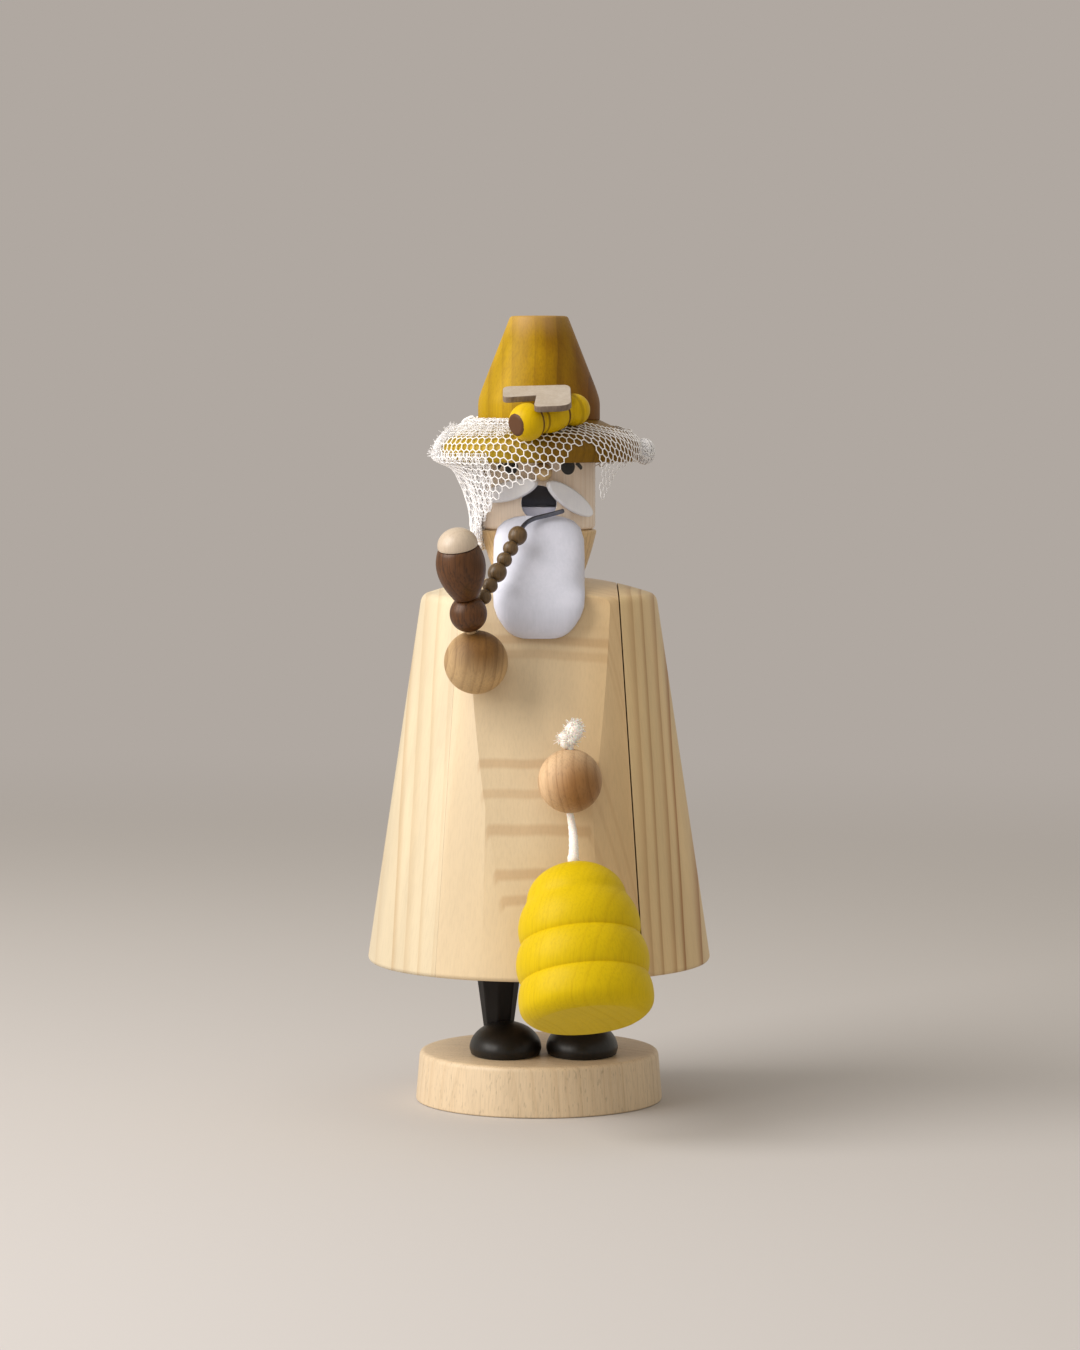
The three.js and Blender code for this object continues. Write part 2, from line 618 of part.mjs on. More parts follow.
function buildHead() {
  const head = new THREE.Group();
  const collar = turned([
    [FLUE_R, COAT_TOP - COLLAR_TENON_DEPTH], [COLLAR_TENON_R, COAT_TOP - COLLAR_TENON_DEPTH],
    [COLLAR_TENON_R, COAT_TOP], ...collarOutline(0), [NECK_TENON_R, HEAD_FLOOR],
    [NECK_TENON_R, HEAD_FLOOR + NECK_TENON_HEIGHT], [FLUE_R, HEAD_FLOOR + NECK_TENON_HEIGHT],
    [FLUE_R, COAT_TOP - COLLAR_TENON_DEPTH],
  ], MEDIUM);
  addPiece(head, 'collar', collar, BEECH);

  const skull = turned([
    [0, HEAD_FLOOR], ...arc(HEAD_R - HEAD_EDGE_R, HEAD_FLOOR + HEAD_EDGE_R, HEAD_EDGE_R, -90, 0, 3),
    [HEAD_R, HEAD_TOP], [0, HEAD_TOP],
  ], MEDIUM);
  const headHollow = rod(NECK_TENON_R + GLUE_GAP, HEAD_FLOOR - OVERCUT, HEAD_TOP - HEAD_ROOF);
  const mouth = rod(MOUTH_R, 0, FAR).rotateX(Math.PI / 2).translate(0, 0, HEAD_FLOOR + MOUTH_HEIGHT);
  const nosePlace = new THREE.Vector3(NOSE_X, -HEAD_R - NOSE_OUT, HEAD_FLOOR + NOSE_HEIGHT);
  const noseSocket = ball(NOSE_R + GLUE_GAP, TINY).translate(...nosePlace);
  const hatSocket = rod(HAT_DOWEL_R + GLUE_GAP, HEAD_TOP - HAT_DOWEL_HEAD_DEPTH, HEAD_TOP + OVERCUT);
  addPiece(head, 'head', cut(skull, headHollow, mouth, noseSocket, hatSocket), HEAD_WOOD);
  addPiece(head, 'nose', ball(NOSE_R, TINY).translate(...nosePlace), HEAD_WOOD);

  addPiece(head, 'moustache_left', moustacheHalf(MOUSTACHE_LEFT), WHITE_PAINT);
  addPiece(head, 'moustache_right', moustacheHalf(MOUSTACHE_RIGHT), WHITE_PAINT);

  const headRoom = rod(HEAD_R + GLUE_GAP, HEAD_FLOOR - GLUE_GAP, HEAD_TOP, MEDIUM);
  const collarRoom = turned([
    [0, COAT_TOP - GLUE_GAP], ...collarOutline(GLUE_GAP), [0, HEAD_FLOOR + GLUE_GAP],
  ], MEDIUM);
  const beard = toSolid(beardBlock()).subtract(coatBlank(GLUE_GAP));
  const fitted = beard.subtract(toSolid(headRoom)).subtract(toSolid(collarRoom));
  addPiece(head, 'beard', toGeometry(fitted), BEARD_WHITE);
  return head;
}

// Hat

// The brim's upper side, from the lip inwards: a rounded edge and a straight slope.
function brimOutline(grow) {
  const edge = new THREE.QuadraticBezierCurve(
    new THREE.Vector2(BRIM_R + grow, HEAD_TOP + BRIM_LIP_HEIGHT),
    new THREE.Vector2(BRIM_R + grow, BRIM_TOP - BRIM_EDGE_DROP + grow),
    new THREE.Vector2(BRIM_SLOPE_R + grow / 2, BRIM_TOP - BRIM_SLOPE_DROP + grow),
  );
  const points = edge.getPoints(BRIM_EDGE_STEPS).map(({ x, y }) => [x, y]);
  return [...points, [(BRIM_SLOPE_R + CROWN_R) / 2, BRIM_TOP - BRIM_SLOPE_DROP / 2 + grow], [CROWN_R, BRIM_TOP + grow]];
}

function buildHat() {
  const hat = new THREE.Group();
  const hole = rod(HAT_DOWEL_R + GLUE_GAP, HEAD_TOP - OVERCUT, BRIM_TOP + HAT_DOWEL_CROWN_DEPTH);
  const brim = turned([[0, HEAD_TOP], [BRIM_UNDER_R, HEAD_TOP], ...brimOutline(0), [0, BRIM_TOP]], FINE);
  addPiece(hat, 'hat_brim', cut(brim, hole, beePinSolid(GLUE_GAP)), HAT_STAIN);

  const wallTop = BRIM_TOP + CROWN_WALL_HEIGHT;
  const coneR = CROWN_R - (CROWN_R - CROWN_TOP_R) * (CROWN_SHOULDER_DROP / (CROWN_HEIGHT - CROWN_WALL_HEIGHT));
  const crown = turned([
    [0, BRIM_TOP], [CROWN_R, BRIM_TOP], [CROWN_R, wallTop - CROWN_SHOULDER_DROP / 2],
    [CROWN_R - CROWN_SHOULDER_ROUND, wallTop], [coneR, wallTop + CROWN_SHOULDER_DROP],
    [CROWN_TOP_R, BRIM_TOP + CROWN_HEIGHT], [0, BRIM_TOP + CROWN_HEIGHT],
  ], MEDIUM);
  addPiece(hat, 'hat_crown', cut(crown, hole), HAT_STAIN);
  const dowel = rod(HAT_DOWEL_R, HEAD_TOP - HAT_DOWEL_HEAD_DEPTH, BRIM_TOP + HAT_DOWEL_CROWN_DEPTH, TINY);
  addPiece(hat, 'hat_dowel', dowel, BEECH);
  return hat;
}

// Veil

// How low the net hangs below the head's top, in shares of its longest drop, and how far it is drawn in.
const VEIL_HEM = [
  { bearing: 0, drop: 0.25, drawn: 0.55 },
  { bearing: 45, drop: 0.4583, drawn: 0.8 },
  { bearing: 90, drop: 0.75, drawn: 1 },
  { bearing: 135, drop: 0.9167, drawn: 1 },
  { bearing: 180, drop: 1, drawn: 1 },
  { bearing: 203, drop: 0.875, drawn: 0.95 },
  { bearing: 220, drop: 0.5417, drawn: 0.6 },
  { bearing: 240, drop: 0.3667, drawn: 0.25 },
  { bearing: 258, drop: 0.25, drawn: 0.1 },
  { bearing: 272, drop: 0.125, drawn: 0.05 },
  { bearing: 288, drop: 0.0167, drawn: 0 },
  { bearing: 299, drop: -0.125, drawn: 0 },
  { bearing: 309, drop: -0.0667, drawn: 0 },
  { bearing: 325, drop: 0.1667, drawn: 0.2 },
  { bearing: 360, drop: 0.25, drawn: 0.55 },
];
// The radius of the drawn-in net, in brim radii, at shares of the longest drop.
const VEIL_DRAWN = [
  { drop: 0, radius: 1.0449 },
  { drop: 0.1417, radius: 0.8571 },
  { drop: 0.3917, radius: 0.751 },
  { drop: 0.6833, radius: 0.649 },
  { drop: 1, radius: 0.5959 },
];

// Straight-line reading of a table at a key.
function readTable(table, key, value, where) {
  const last = table[table.length - 1];
  const next = table.findIndex((row) => row[key] >= where);
  if (next < 0) {
    return last[value];
  }
  if (next === 0) {
    return table[0][value];
  }
  const [low, high] = [table[next - 1], table[next]];
  const share = (where - low[key]) / (high[key] - low[key]);
  return low[value] + (high[value] - low[value]) * share;
}

// The line that the net follows at one bearing, from the crown down, as radius and height.
function veilLine(bearing) {
  const drop = VEIL_DROP * readTable(VEIL_HEM, 'bearing', 'drop', bearing);
  const drawn = readTable(VEIL_HEM, 'bearing', 'drawn', bearing);
  const line = brimOutline(VEIL_GAP + VEIL_THICKNESS).reverse();
  line[0] = [CROWN_R + VEIL_START_OUT + VEIL_THICKNESS, line[0][1]];
  const freeR = BRIM_R + VEIL_GAP + VEIL_THICKNESS;
  const foldAngle = THREE.MathUtils.degToRad(bearing) * VEIL_FOLDS;
  const foldDepth = VEIL_FOLD_DEPTH * Math.min(1, drop / VEIL_FULL_FOLD_DROP);
  for (let i = 0; i <= VEIL_HANG_STEPS; i += 1) {
    const depth = (Math.max(drop, 0) * i) / VEIL_HANG_STEPS;
    const drawnR = BRIM_R * readTable(VEIL_DRAWN, 'drop', 'radius', depth / VEIL_DROP);
    const fold = foldDepth * (i / VEIL_HANG_STEPS) * Math.sin(foldAngle);
    line.push([freeR + (drawnR - freeR) * drawn + fold, HEAD_TOP - depth]);
  }
  const lowest = drop < 0 ? HEAD_TOP - drop : -Infinity;
  return line.filter(([, height]) => height >= lowest - WELD);
}

// A point of the net at a bearing and a share of the way down its line.
function veilPoint(line, bearing, share) {
  const steps = line.slice(1).map(([r, z], i) => Math.hypot(r - line[i][0], z - line[i][1]));
  let left = share * steps.reduce((sum, step) => sum + step, 0);
  let i = 0;
  while (i < steps.length - 1 && left > steps[i]) {
    left -= steps[i];
    i += 1;
  }
  const part = steps[i] > 0 ? Math.min(1, left / steps[i]) : 0;
  const radius = line[i][0] + (line[i + 1][0] - line[i][0]) * part;
  const height = line[i][1] + (line[i + 1][1] - line[i][1]) * part;
  const angle = THREE.MathUtils.degToRad(bearing);
  return new THREE.Vector3(radius * Math.cos(angle), radius * Math.sin(angle), height);
}

function veilGeometry() {
  const outer = [];
  for (let i = 0; i < VEIL_STEPS_ROUND; i += 1) {
    const bearing = (360 * i) / VEIL_STEPS_ROUND;
    const line = veilLine(bearing);
    outer.push(Array.from({ length: VEIL_STEPS_DOWN + 1 }, (_, j) => veilPoint(line, bearing, j / VEIL_STEPS_DOWN)));
  }
  // The inner side lies one thickness inside the outer one, square to it in each upright plane.
  const inner = outer.map((column) => column.map((point, j) => {
    const before = column[Math.max(0, j - 1)];
    const after = column[Math.min(VEIL_STEPS_DOWN, j + 1)];
    const out = new THREE.Vector3(point.x, point.y, 0).normalize();
    const run = after.clone().sub(before);
    const along = new THREE.Vector2(run.dot(out), run.z).normalize();
    return point.clone().addScaledVector(out, along.y * VEIL_THICKNESS)
      .add(new THREE.Vector3(0, 0, -along.x * VEIL_THICKNESS));
  }));
  const positions = [];
  const rows = VEIL_STEPS_DOWN + 1;
  for (const side of [outer, inner]) {
    side.forEach((column) => column.forEach((point) => positions.push(...point)));
  }
  const innerStart = VEIL_STEPS_ROUND * rows;
  const index = [];
  const quad = (a, b, c, d) => index.push(a, b, c, a, c, d);
  for (let i = 0; i < VEIL_STEPS_ROUND; i += 1) {
    const here = i * rows;
    const next = ((i + 1) % VEIL_STEPS_ROUND) * rows;
    for (let j = 0; j < VEIL_STEPS_DOWN; j += 1) {
      quad(here + j, here + j + 1, next + j + 1, next + j);
      quad(innerStart + next + j, innerStart + next + j + 1, innerStart + here + j + 1, innerStart + here + j);
    }
    const end = VEIL_STEPS_DOWN;
    quad(here, next, innerStart + next, innerStart + here);
    quad(next + end, here + end, innerStart + here + end, innerStart + next + end);
  }
  const geometry = new THREE.BufferGeometry();
  geometry.setAttribute('position', new THREE.Float32BufferAttribute(positions, 3));
  geometry.setIndex(index);
  return geometry;
}

function buildVeil() {
  const veil = new THREE.Group();
  addPiece(veil, 'veil', cut(veilGeometry(), beePinSolid(GLUE_GAP), beeBody(GLUE_GAP)), NET_WHITE);
  return veil;
}

// Bee

const beeTail = () => new THREE.Vector3(BEE_TAIL_OUT.x, BEE_TAIL_OUT.y, BRIM_TOP + BEE_TAIL_OUT.rise);

// The way that the bee faces.
function beeHeading() {
  const turn = THREE.MathUtils.degToRad(BEE_HEAD_TURN);
  const dip = THREE.MathUtils.degToRad(BEE_HEAD_DROP);
  return new THREE.Vector3(-Math.cos(turn) * Math.cos(dip), -Math.sin(turn) * Math.cos(dip), -Math.sin(dip));
}

// A pin that stands in the brim and holds the bee's belly.
function beePinSolid(gap) {
  const place = beeTail().addScaledVector(beeHeading(), BEE_PIN_ALONG);
  const belly = place.z - BEE_WAIST[0].radius;
  const shape = rod(BEE_PIN_R + gap, belly - BEE_PIN_DEPTH - gap, belly + BEE_PIN_RISE + gap, PIN_SIDES);
  return shape.translate(place.x, place.y, 0);
}

// The turned body, two balls joined by a waist and cut flat at the face.
function beeBody(grow) {
  const [tailR, headR] = [BEE_TAIL_R + grow, BEE_HEAD_R + grow];
  const faceOut = Math.sqrt(BEE_HEAD_R ** 2 - BEE_FACE_R ** 2) + grow;
  const faceAngle = Math.asin(faceOut / headR) * THREE.MathUtils.RAD2DEG;
  const tailEnd = arc(0, 0, tailR, -90, BEE_END_ANGLE, 6).map(([r, z], i) => [i === 0 ? 0 : r, z]);
  const waist = BEE_WAIST.map(({ radius, along }) => [radius + grow, along]);
  const headEnd = arc(0, BEE_LENGTH, headR, -BEE_END_ANGLE, faceAngle, 5);
  const shape = turned([...tailEnd, ...waist, ...headEnd, [0, BEE_LENGTH + faceOut]], SMALL);
  return aim(shape, beeTail(), beeHeading());
}

function wingShape() {
  const [front, back] = [WING_LENGTH / 2, -WING_LENGTH / 2];
  const side = WING_WIDTH / 2;
  const tip = (side - WING_NOTCH_WIDTH / 2) / 2;
  const outline = new THREE.Shape();
  outline.moveTo(back + side, -side);
  outline.lineTo(front - tip, -side);
  outline.absarc(front - tip, -side + tip, tip, -Math.PI / 2, Math.PI / 2, false);
  outline.lineTo(front - WING_NOTCH_DEPTH, 0);
  outline.lineTo(front - tip, side - 2 * tip);
  outline.absarc(front - tip, side - tip, tip, -Math.PI / 2, Math.PI / 2, false);
  outline.lineTo(back + side, side);
  outline.absarc(back + side, 0, side, Math.PI / 2, 1.5 * Math.PI, false);
  return new THREE.ExtrudeGeometry(outline, { depth: WING_THICKNESS, bevelEnabled: false, curveSegments: 8 });
}

function buildBee() {
  const bee = new THREE.Group();
  const heading = beeHeading();
  const up = new THREE.Vector3(0, 0, 1).addScaledVector(heading, -heading.z).normalize();
  const near = new THREE.Vector3().crossVectors(up, heading).normalize();
  const roll = THREE.MathUtils.degToRad(WING_ROLL);
  const pitch = THREE.MathUtils.degToRad(WING_PITCH);
  const out = up.clone().multiplyScalar(Math.cos(roll)).addScaledVector(near, Math.sin(roll));
  const along = heading.clone().multiplyScalar(Math.cos(pitch)).addScaledVector(out, Math.sin(pitch));
  const face = out.clone().multiplyScalar(Math.cos(pitch)).addScaledVector(heading, -Math.sin(pitch));
  const across = new THREE.Vector3().crossVectors(face, along);
  const underside = BEE_HEAD_R + WING_LIFT;
  const wingPlace = beeTail().addScaledVector(heading, WING_ALONG).addScaledVector(out, underside);
  const basis = new THREE.Matrix4().makeBasis(along, across, face).setPosition(wingPlace);

  const pinReach = rod(WING_PIN_R, -WING_PIN_DEPTH - WING_LIFT, WING_THICKNESS - GLUE_GAP, PIN_SIDES);
  const pinHole = rod(WING_PIN_R + GLUE_GAP, -WING_PIN_DEPTH - WING_LIFT - GLUE_GAP, WING_THICKNESS, PIN_SIDES);
  addPiece(bee, 'bee_wings', cut(wingShape().applyMatrix4(basis), pinHole.clone().applyMatrix4(basis)), WING_PLY);
  addPiece(bee, 'bee_wing_pin', pinReach.applyMatrix4(basis), BEECH);
  addPiece(bee, 'bee_body', cut(beeBody(0), beePinSolid(GLUE_GAP), pinHole.applyMatrix4(basis)), BEE_YELLOW);
  addPiece(bee, 'bee_pin', beePinSolid(0), STEEL_WIRE);
  return bee;
}

// Hands, pipe and beads

// The pipe's axis, up from the middle of its hand.
function pipeDirection() {
  const left = Math.tan(THREE.MathUtils.degToRad(PIPE_LEAN_LEFT));
  const forward = Math.tan(THREE.MathUtils.degToRad(PIPE_LEAN_FORWARD));
  return new THREE.Vector3(-left, -forward, 1).normalize();
}

const PIPE_BALL_HEIGHT = HAND_R + GLUE_GAP + PIPE_BALL_R;
const BOWL_FOOT = PIPE_BALL_HEIGHT + PIPE_BALL_R + GLUE_GAP - BOWL_SEAT_DEPTH;
const pipePoint = (height) => handCentre(PIPE_HAND).addScaledVector(pipeDirection(), height);

// A place in front of the mouth, in mouth radii across, out from the head's round and up from the mouth's middle.
function mouthPoint({ x, out, rise }) {
  const middle = new THREE.Vector3(0, -HEAD_R, HEAD_FLOOR + MOUTH_HEIGHT);
  return middle.addScaledVector(new THREE.Vector3(x, -out, rise), MOUTH_R);
}

// The row of beads, from the mouthpiece down to the pipe's ball.
function beadPlaces() {
  const { x, y, rise } = BEAD_ROW_END;
  const end = pipePoint(PIPE_BALL_HEIGHT).addScaledVector(new THREE.Vector3(x, y, rise), PIPE_BALL_R);
  const direction = end.clone().sub(mouthPoint(BEAD_ROW_AIM)).normalize();
  let back = 0;
  const row = [...BEAD_ORDER].reverse().map((kind, i) => {
    const { length } = BEAD_KINDS[kind];
    back += i === 0 ? 0 : length / 2;
    const place = end.clone().addScaledVector(direction, -back);
    back += length / 2 + BEAD_GAP;
    return { ...BEAD_KINDS[kind], place, direction };
  });
  return row.reverse();
}

function wireCurve() {
  const beads = beadPlaces();
  const points = WIRE_MOUTHPIECE.map(mouthPoint);
  const [first, last] = [beads[0], beads[beads.length - 1]];
  points.push(first.place.clone().addScaledVector(first.direction, -first.length / 2 - WIRE_LEAD));
  points.push(...beads.map(({ place }) => place));
  points.push(last.place.clone().addScaledVector(last.direction, last.length / 2 + WIRE_LEAD));
  const ballCentre = pipePoint(PIPE_BALL_HEIGHT);
  const inward = ballCentre.clone().sub(points[points.length - 1]).normalize();
  points.push(ballCentre.clone().addScaledVector(inward, -PIPE_BALL_R));
  points.push(ballCentre.clone().addScaledVector(inward, -(PIPE_BALL_R - WIRE_BALL_DEPTH)));
  return new THREE.CatmullRomCurve3(points, false, 'centripetal');
}

function beadGeometry({ radius, length, steps, point, place, direction }) {
  const bore = WIRE_R + WIRE_BORE_GAP;
  const half = length / 2;
  const outline = Array.from({ length: steps + 1 }, (_, i) => {
    const angle = Math.PI * (i / steps - 0.5);
    return [bore + (radius - bore) * Math.cos(angle) ** point, half * Math.sin(angle)];
  });
  return aim(turned([...outline, outline[0]], TINY), place, direction);
}

// A round section drawn along a curve.
function alongCurve(curve, radius, sides, steps) {
  const section = new THREE.Shape();
  for (let i = 0; i < sides; i += 1) {
    const angle = (2 * Math.PI * i) / sides;
    const [x, y] = [radius * Math.cos(angle), radius * Math.sin(angle)];
    if (i === 0) {
      section.moveTo(x, y);
    } else {
      section.lineTo(x, y);
    }
  }
  return new THREE.ExtrudeGeometry(section, { steps, extrudePath: curve, bevelEnabled: false });
}

function buildPipe() {
  const pipe = new THREE.Group();
  const direction = pipeDirection();
  const hand = handCentre(PIPE_HAND);
  const pegHigh = BOWL_FOOT + PIPE_PEG_BOWL_DEPTH;
  const pegLow = HAND_R - PIPE_PEG_HAND_DEPTH;
  const place = (geometry) => aim(geometry, hand, direction);
  const pegHole = place(rod(PIPE_PEG_R + GLUE_GAP, pegLow - GLUE_GAP, pegHigh + GLUE_GAP, TINY));
  const handHole = handDowel(PIPE_HAND, HAND_DOWEL_R + GLUE_GAP, GLUE_GAP);

  const palm = ball(HAND_R, SMALL).translate(...hand);
  addPiece(pipe, 'pipe_hand', cut(palm, handHole, pegHole), BEECH);
  addPiece(pipe, 'pipe_hand_dowel', handDowel(PIPE_HAND, HAND_DOWEL_R, 0), BEECH);

  const wire = wireCurve();
  const wireEntry = wire.getPoint(1);
  const wireWay = wire.getTangent(1);
  const wireHole = aim(rod(WIRE_R + WIRE_BORE_GAP, -WIRE_HOLE_REACH, WIRE_BORE_GAP, PIN_SIDES), wireEntry, wireWay);
  const knob = place(ball(PIPE_BALL_R, SMALL).translate(0, 0, PIPE_BALL_HEIGHT));
  addPiece(pipe, 'pipe_ball', cut(knob, pegHole, wireHole), DARK_WOOD);

  const rim = BOWL_FOOT + BOWL_HEIGHT;
  const swell = new THREE.QuadraticBezierCurve(
    new THREE.Vector2(BOWL_FOOT_R, BOWL_FOOT + BOWL_FOOT_BEVEL.rise),
    new THREE.Vector2(2 * BOWL_R - (BOWL_FOOT_R + BOWL_RIM_R) / 2, BOWL_FOOT + BOWL_WIDEST_HEIGHT),
    new THREE.Vector2(BOWL_RIM_R, rim),
  ).getPoints(5).map(({ x, y }) => [x, y]);
  const ballRoom = ball(PIPE_BALL_R + GLUE_GAP, SMALL).translate(0, 0, PIPE_BALL_HEIGHT);
  const capSocket = rod(CAP_TENON_R + GLUE_GAP, rim - CAP_TENON_DEPTH - GLUE_GAP, rim + OVERCUT, TINY);
  const bowl = turned([[0, BOWL_FOOT], [BOWL_FOOT_R - BOWL_FOOT_BEVEL.in, BOWL_FOOT], ...swell, [0, rim]], SMALL);
  addPiece(pipe, 'pipe_bowl', cut(place(bowl), place(ballRoom), pegHole, place(capSocket)), DARK_WOOD);

  const capFoot = rim + GLUE_GAP;
  const cap = turned([
    [0, rim - CAP_TENON_DEPTH], [CAP_TENON_R, rim - CAP_TENON_DEPTH], [CAP_TENON_R, capFoot],
    ...domeOutline(CAP_R, capFoot, CAP_HEIGHT, 5),
  ], SMALL);
  addPiece(pipe, 'pipe_cap', place(cap), CAP_WOOD);
  addPiece(pipe, 'pipe_peg', place(rod(PIPE_PEG_R, pegLow, pegHigh, TINY)), BEECH);

  beadPlaces().forEach((bead, i) => addPiece(pipe, `pipe_bead_${i + 1}`, beadGeometry(bead), DARK_WOOD));
  addPiece(pipe, 'pipe_wire', alongCurve(wire, WIRE_R, WIRE_SIDES, WIRE_STEPS), STEEL_WIRE);
  return pipe;
}

// Hive, its hand and its cord

// The hive's axis, up from its foot to its top.
function hiveDirection() {
  const side = Math.tan(THREE.MathUtils.degToRad(HIVE_LEAN_SIDE));
  const out = Math.tan(THREE.MathUtils.degToRad(HIVE_LEAN_OUT));
  return new THREE.Vector3(-side, out, 1).normalize();
}

// One ribbed band between two edges, swelling in between.
function hiveBand(upper, lower) {
  const [upperR, lowerR] = [upper.share * HIVE_R, lower.share * HIVE_R];
  return Array.from({ length: HIVE_BAND_STEPS }, (_, i) => {
    const share = (i + 1) / HIVE_BAND_STEPS;
    const swell = HIVE_BAND_SWELL * Math.sin(Math.PI * share) ** HIVE_BAND_FULLNESS;
    const bands = upper.bands + (lower.bands - upper.bands) * share;
    return [upperR + (lowerR - upperR) * share + swell, -(HIVE_DOME_HEIGHT + bands * HIVE_BAND_HEIGHT)];
  });
}

function buildHive() {
  const hive = new THREE.Group();
  const hand = handCentre(HIVE_HAND);
  const bore = CORD_R + CORD_BORE_GAP;
  const cordHole = rod(bore, -HAND_R - OVERCUT, HAND_R + OVERCUT, TINY).translate(...hand);
  const handHole = handDowel(HIVE_HAND, HAND_DOWEL_R + GLUE_GAP, GLUE_GAP);
  addPiece(hive, 'hive_hand', cut(ball(HAND_R, SMALL).translate(...hand), cordHole, handHole), BEECH);
  const dowel = handDowel(HIVE_HAND, HAND_DOWEL_R, 0);
  const dowelTrim = rod(bore + GLUE_GAP, -HAND_R, HAND_R, TINY).translate(...hand);
  addPiece(hive, 'hive_hand_dowel', cut(dowel, dowelTrim), BEECH);

  const under = hand.z - HAND_R;
  const tail = under + CORD_BEND_ROOM;
  const knotFoot = hand.z + HAND_R + GLUE_GAP;
  const bulge = KNOT_OUTLINE.map(({ rise, radius }) => [radius * KNOT_R, knotFoot + rise * KNOT_HEIGHT]);
  const knotTop = bulge[bulge.length - 1][1];
  const knot = turned([[0, tail], [CORD_R, tail], [CORD_R, knotFoot], ...bulge, [0, knotTop]], TINY);
  addPiece(hive, 'cord_knot', knot.translate(hand.x, hand.y, 0), COTTON);

  const direction = hiveDirection();
  const top = hand.clone().add(new THREE.Vector3(HIVE_HANG.x, -HIVE_HANG.out, -HIVE_HANG.drop));
  const cordStart = new THREE.Vector3(hand.x, hand.y, under - GLUE_GAP);
  const cordEnd = top.clone().addScaledVector(direction, GLUE_GAP);
  const reach = cordStart.distanceTo(cordEnd) / 3;
  const free = new THREE.CubicBezierCurve3(
    cordStart, cordStart.clone().add(new THREE.Vector3(0, 0, -reach)),
    cordEnd.clone().addScaledVector(direction, reach), cordEnd,
  );
  addPiece(hive, 'hive_cord', alongCurve(free, CORD_R, CORD_SIDES, CORD_STEPS), COTTON);

  const dome = domeOutline(HIVE_DOME_R, -HIVE_DOME_HEIGHT, HIVE_DOME_HEIGHT, 5).reverse();
  const bands = HIVE_BAND_EDGES.slice(1).flatMap((edge, i) => hiveBand(HIVE_BAND_EDGES[i], edge));
  const foot = bands[bands.length - 1][1];
  const skep = turned([...dome, ...bands, [0, foot]].reverse(), MEDIUM);
  const socket = rod(bore, -CORD_HIVE_DEPTH - GLUE_GAP, OVERCUT, TINY);
  const hiveGroup = aimedGroup(top, direction);
  addPiece(hiveGroup, 'hive', cut(skep, socket), HIVE_YELLOW);
  addPiece(hiveGroup, 'hive_cord_end', rod(CORD_R, -CORD_HIVE_DEPTH, -GLUE_GAP, CORD_SIDES), COTTON);
  hive.add(hiveGroup);
  return hive;
}

figure.add(buildStand(), buildCoat(), buildHead(), buildHat(), buildVeil(), buildBee(), buildPipe(), buildHive());

export default figure;
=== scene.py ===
"""Looks of a turned wooden incense smoker: a beekeeper with a netted hat, a pipe and a hive on a cord.

Sizes are in millimetres in the classes below and become metres in the meshes. +Z is up and the face looks along -Y.
"""

import logging
import math
import random
from collections.abc import Callable, Iterable, Sequence
from dataclasses import dataclass, field
from enum import Enum

import bmesh
import bpy
from mathutils import Matrix, Vector, noise


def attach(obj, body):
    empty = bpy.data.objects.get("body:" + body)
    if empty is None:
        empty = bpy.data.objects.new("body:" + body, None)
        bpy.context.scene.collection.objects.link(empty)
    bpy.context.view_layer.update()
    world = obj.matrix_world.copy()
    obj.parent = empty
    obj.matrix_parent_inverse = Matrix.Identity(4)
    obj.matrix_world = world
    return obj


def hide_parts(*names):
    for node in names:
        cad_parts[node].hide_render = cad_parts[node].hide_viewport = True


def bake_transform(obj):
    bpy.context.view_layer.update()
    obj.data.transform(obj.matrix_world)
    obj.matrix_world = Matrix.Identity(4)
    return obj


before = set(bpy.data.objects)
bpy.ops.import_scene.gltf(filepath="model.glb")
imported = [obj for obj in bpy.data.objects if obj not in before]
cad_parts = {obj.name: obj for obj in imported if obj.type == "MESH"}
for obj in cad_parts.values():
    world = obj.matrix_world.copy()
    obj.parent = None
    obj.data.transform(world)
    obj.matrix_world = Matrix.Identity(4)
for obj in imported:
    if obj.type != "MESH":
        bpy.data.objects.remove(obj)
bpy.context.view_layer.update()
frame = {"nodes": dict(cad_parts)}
LOG = logging.getLogger("smoker")

Point = tuple[float, float]
Place = tuple[float, float, float]
Socket = bpy.types.NodeSocket
Corner = bmesh.types.BMVert

MM = 0.001
FINE, MEDIUM, SMALL = 144, 72, 40
ON_AXIS = 1e-6
SEED = 11


class Body(Enum):
    """The moving bodies of the figure."""

    STAND = "stand"
    FIGURE = "figure"
    CORD = "cord"
    HIVE = "hive"


@dataclass(frozen=True)
class Levels:
    """Heights that several pieces share."""

    base_top: float = 12.0
    shoe_floor: float = 16.0
    hem: float = 34.0
    flange_top: float = 39.0
    hearth_top: float = 45.0
    chamber_top: float = 100.0
    shoulder: float = 121.6
    socket_floor: float = 122.9
    coat_top: float = 126.9
    head_floor: float = 138.6
    head_top: float = 155.0
    brim_top: float = 165.0
    hat_top: float = 190.0


LEVELS = Levels()


# Shapes


def hexed(code: str) -> tuple[float, float, float, float]:
    """Turns a written colour into the light values that a shader takes.

    Args:
        code: six hexadecimal digits, red, green and blue.

    Returns:
        Red, green, blue and a full alpha.
    """
    values = [int(code[i:i + 2], 16) / 255 for i in (0, 2, 4)]
    return (*(v / 12.92 if v <= 0.04045 else ((v + 0.055) / 1.055) ** 2.4 for v in values), 1.0)


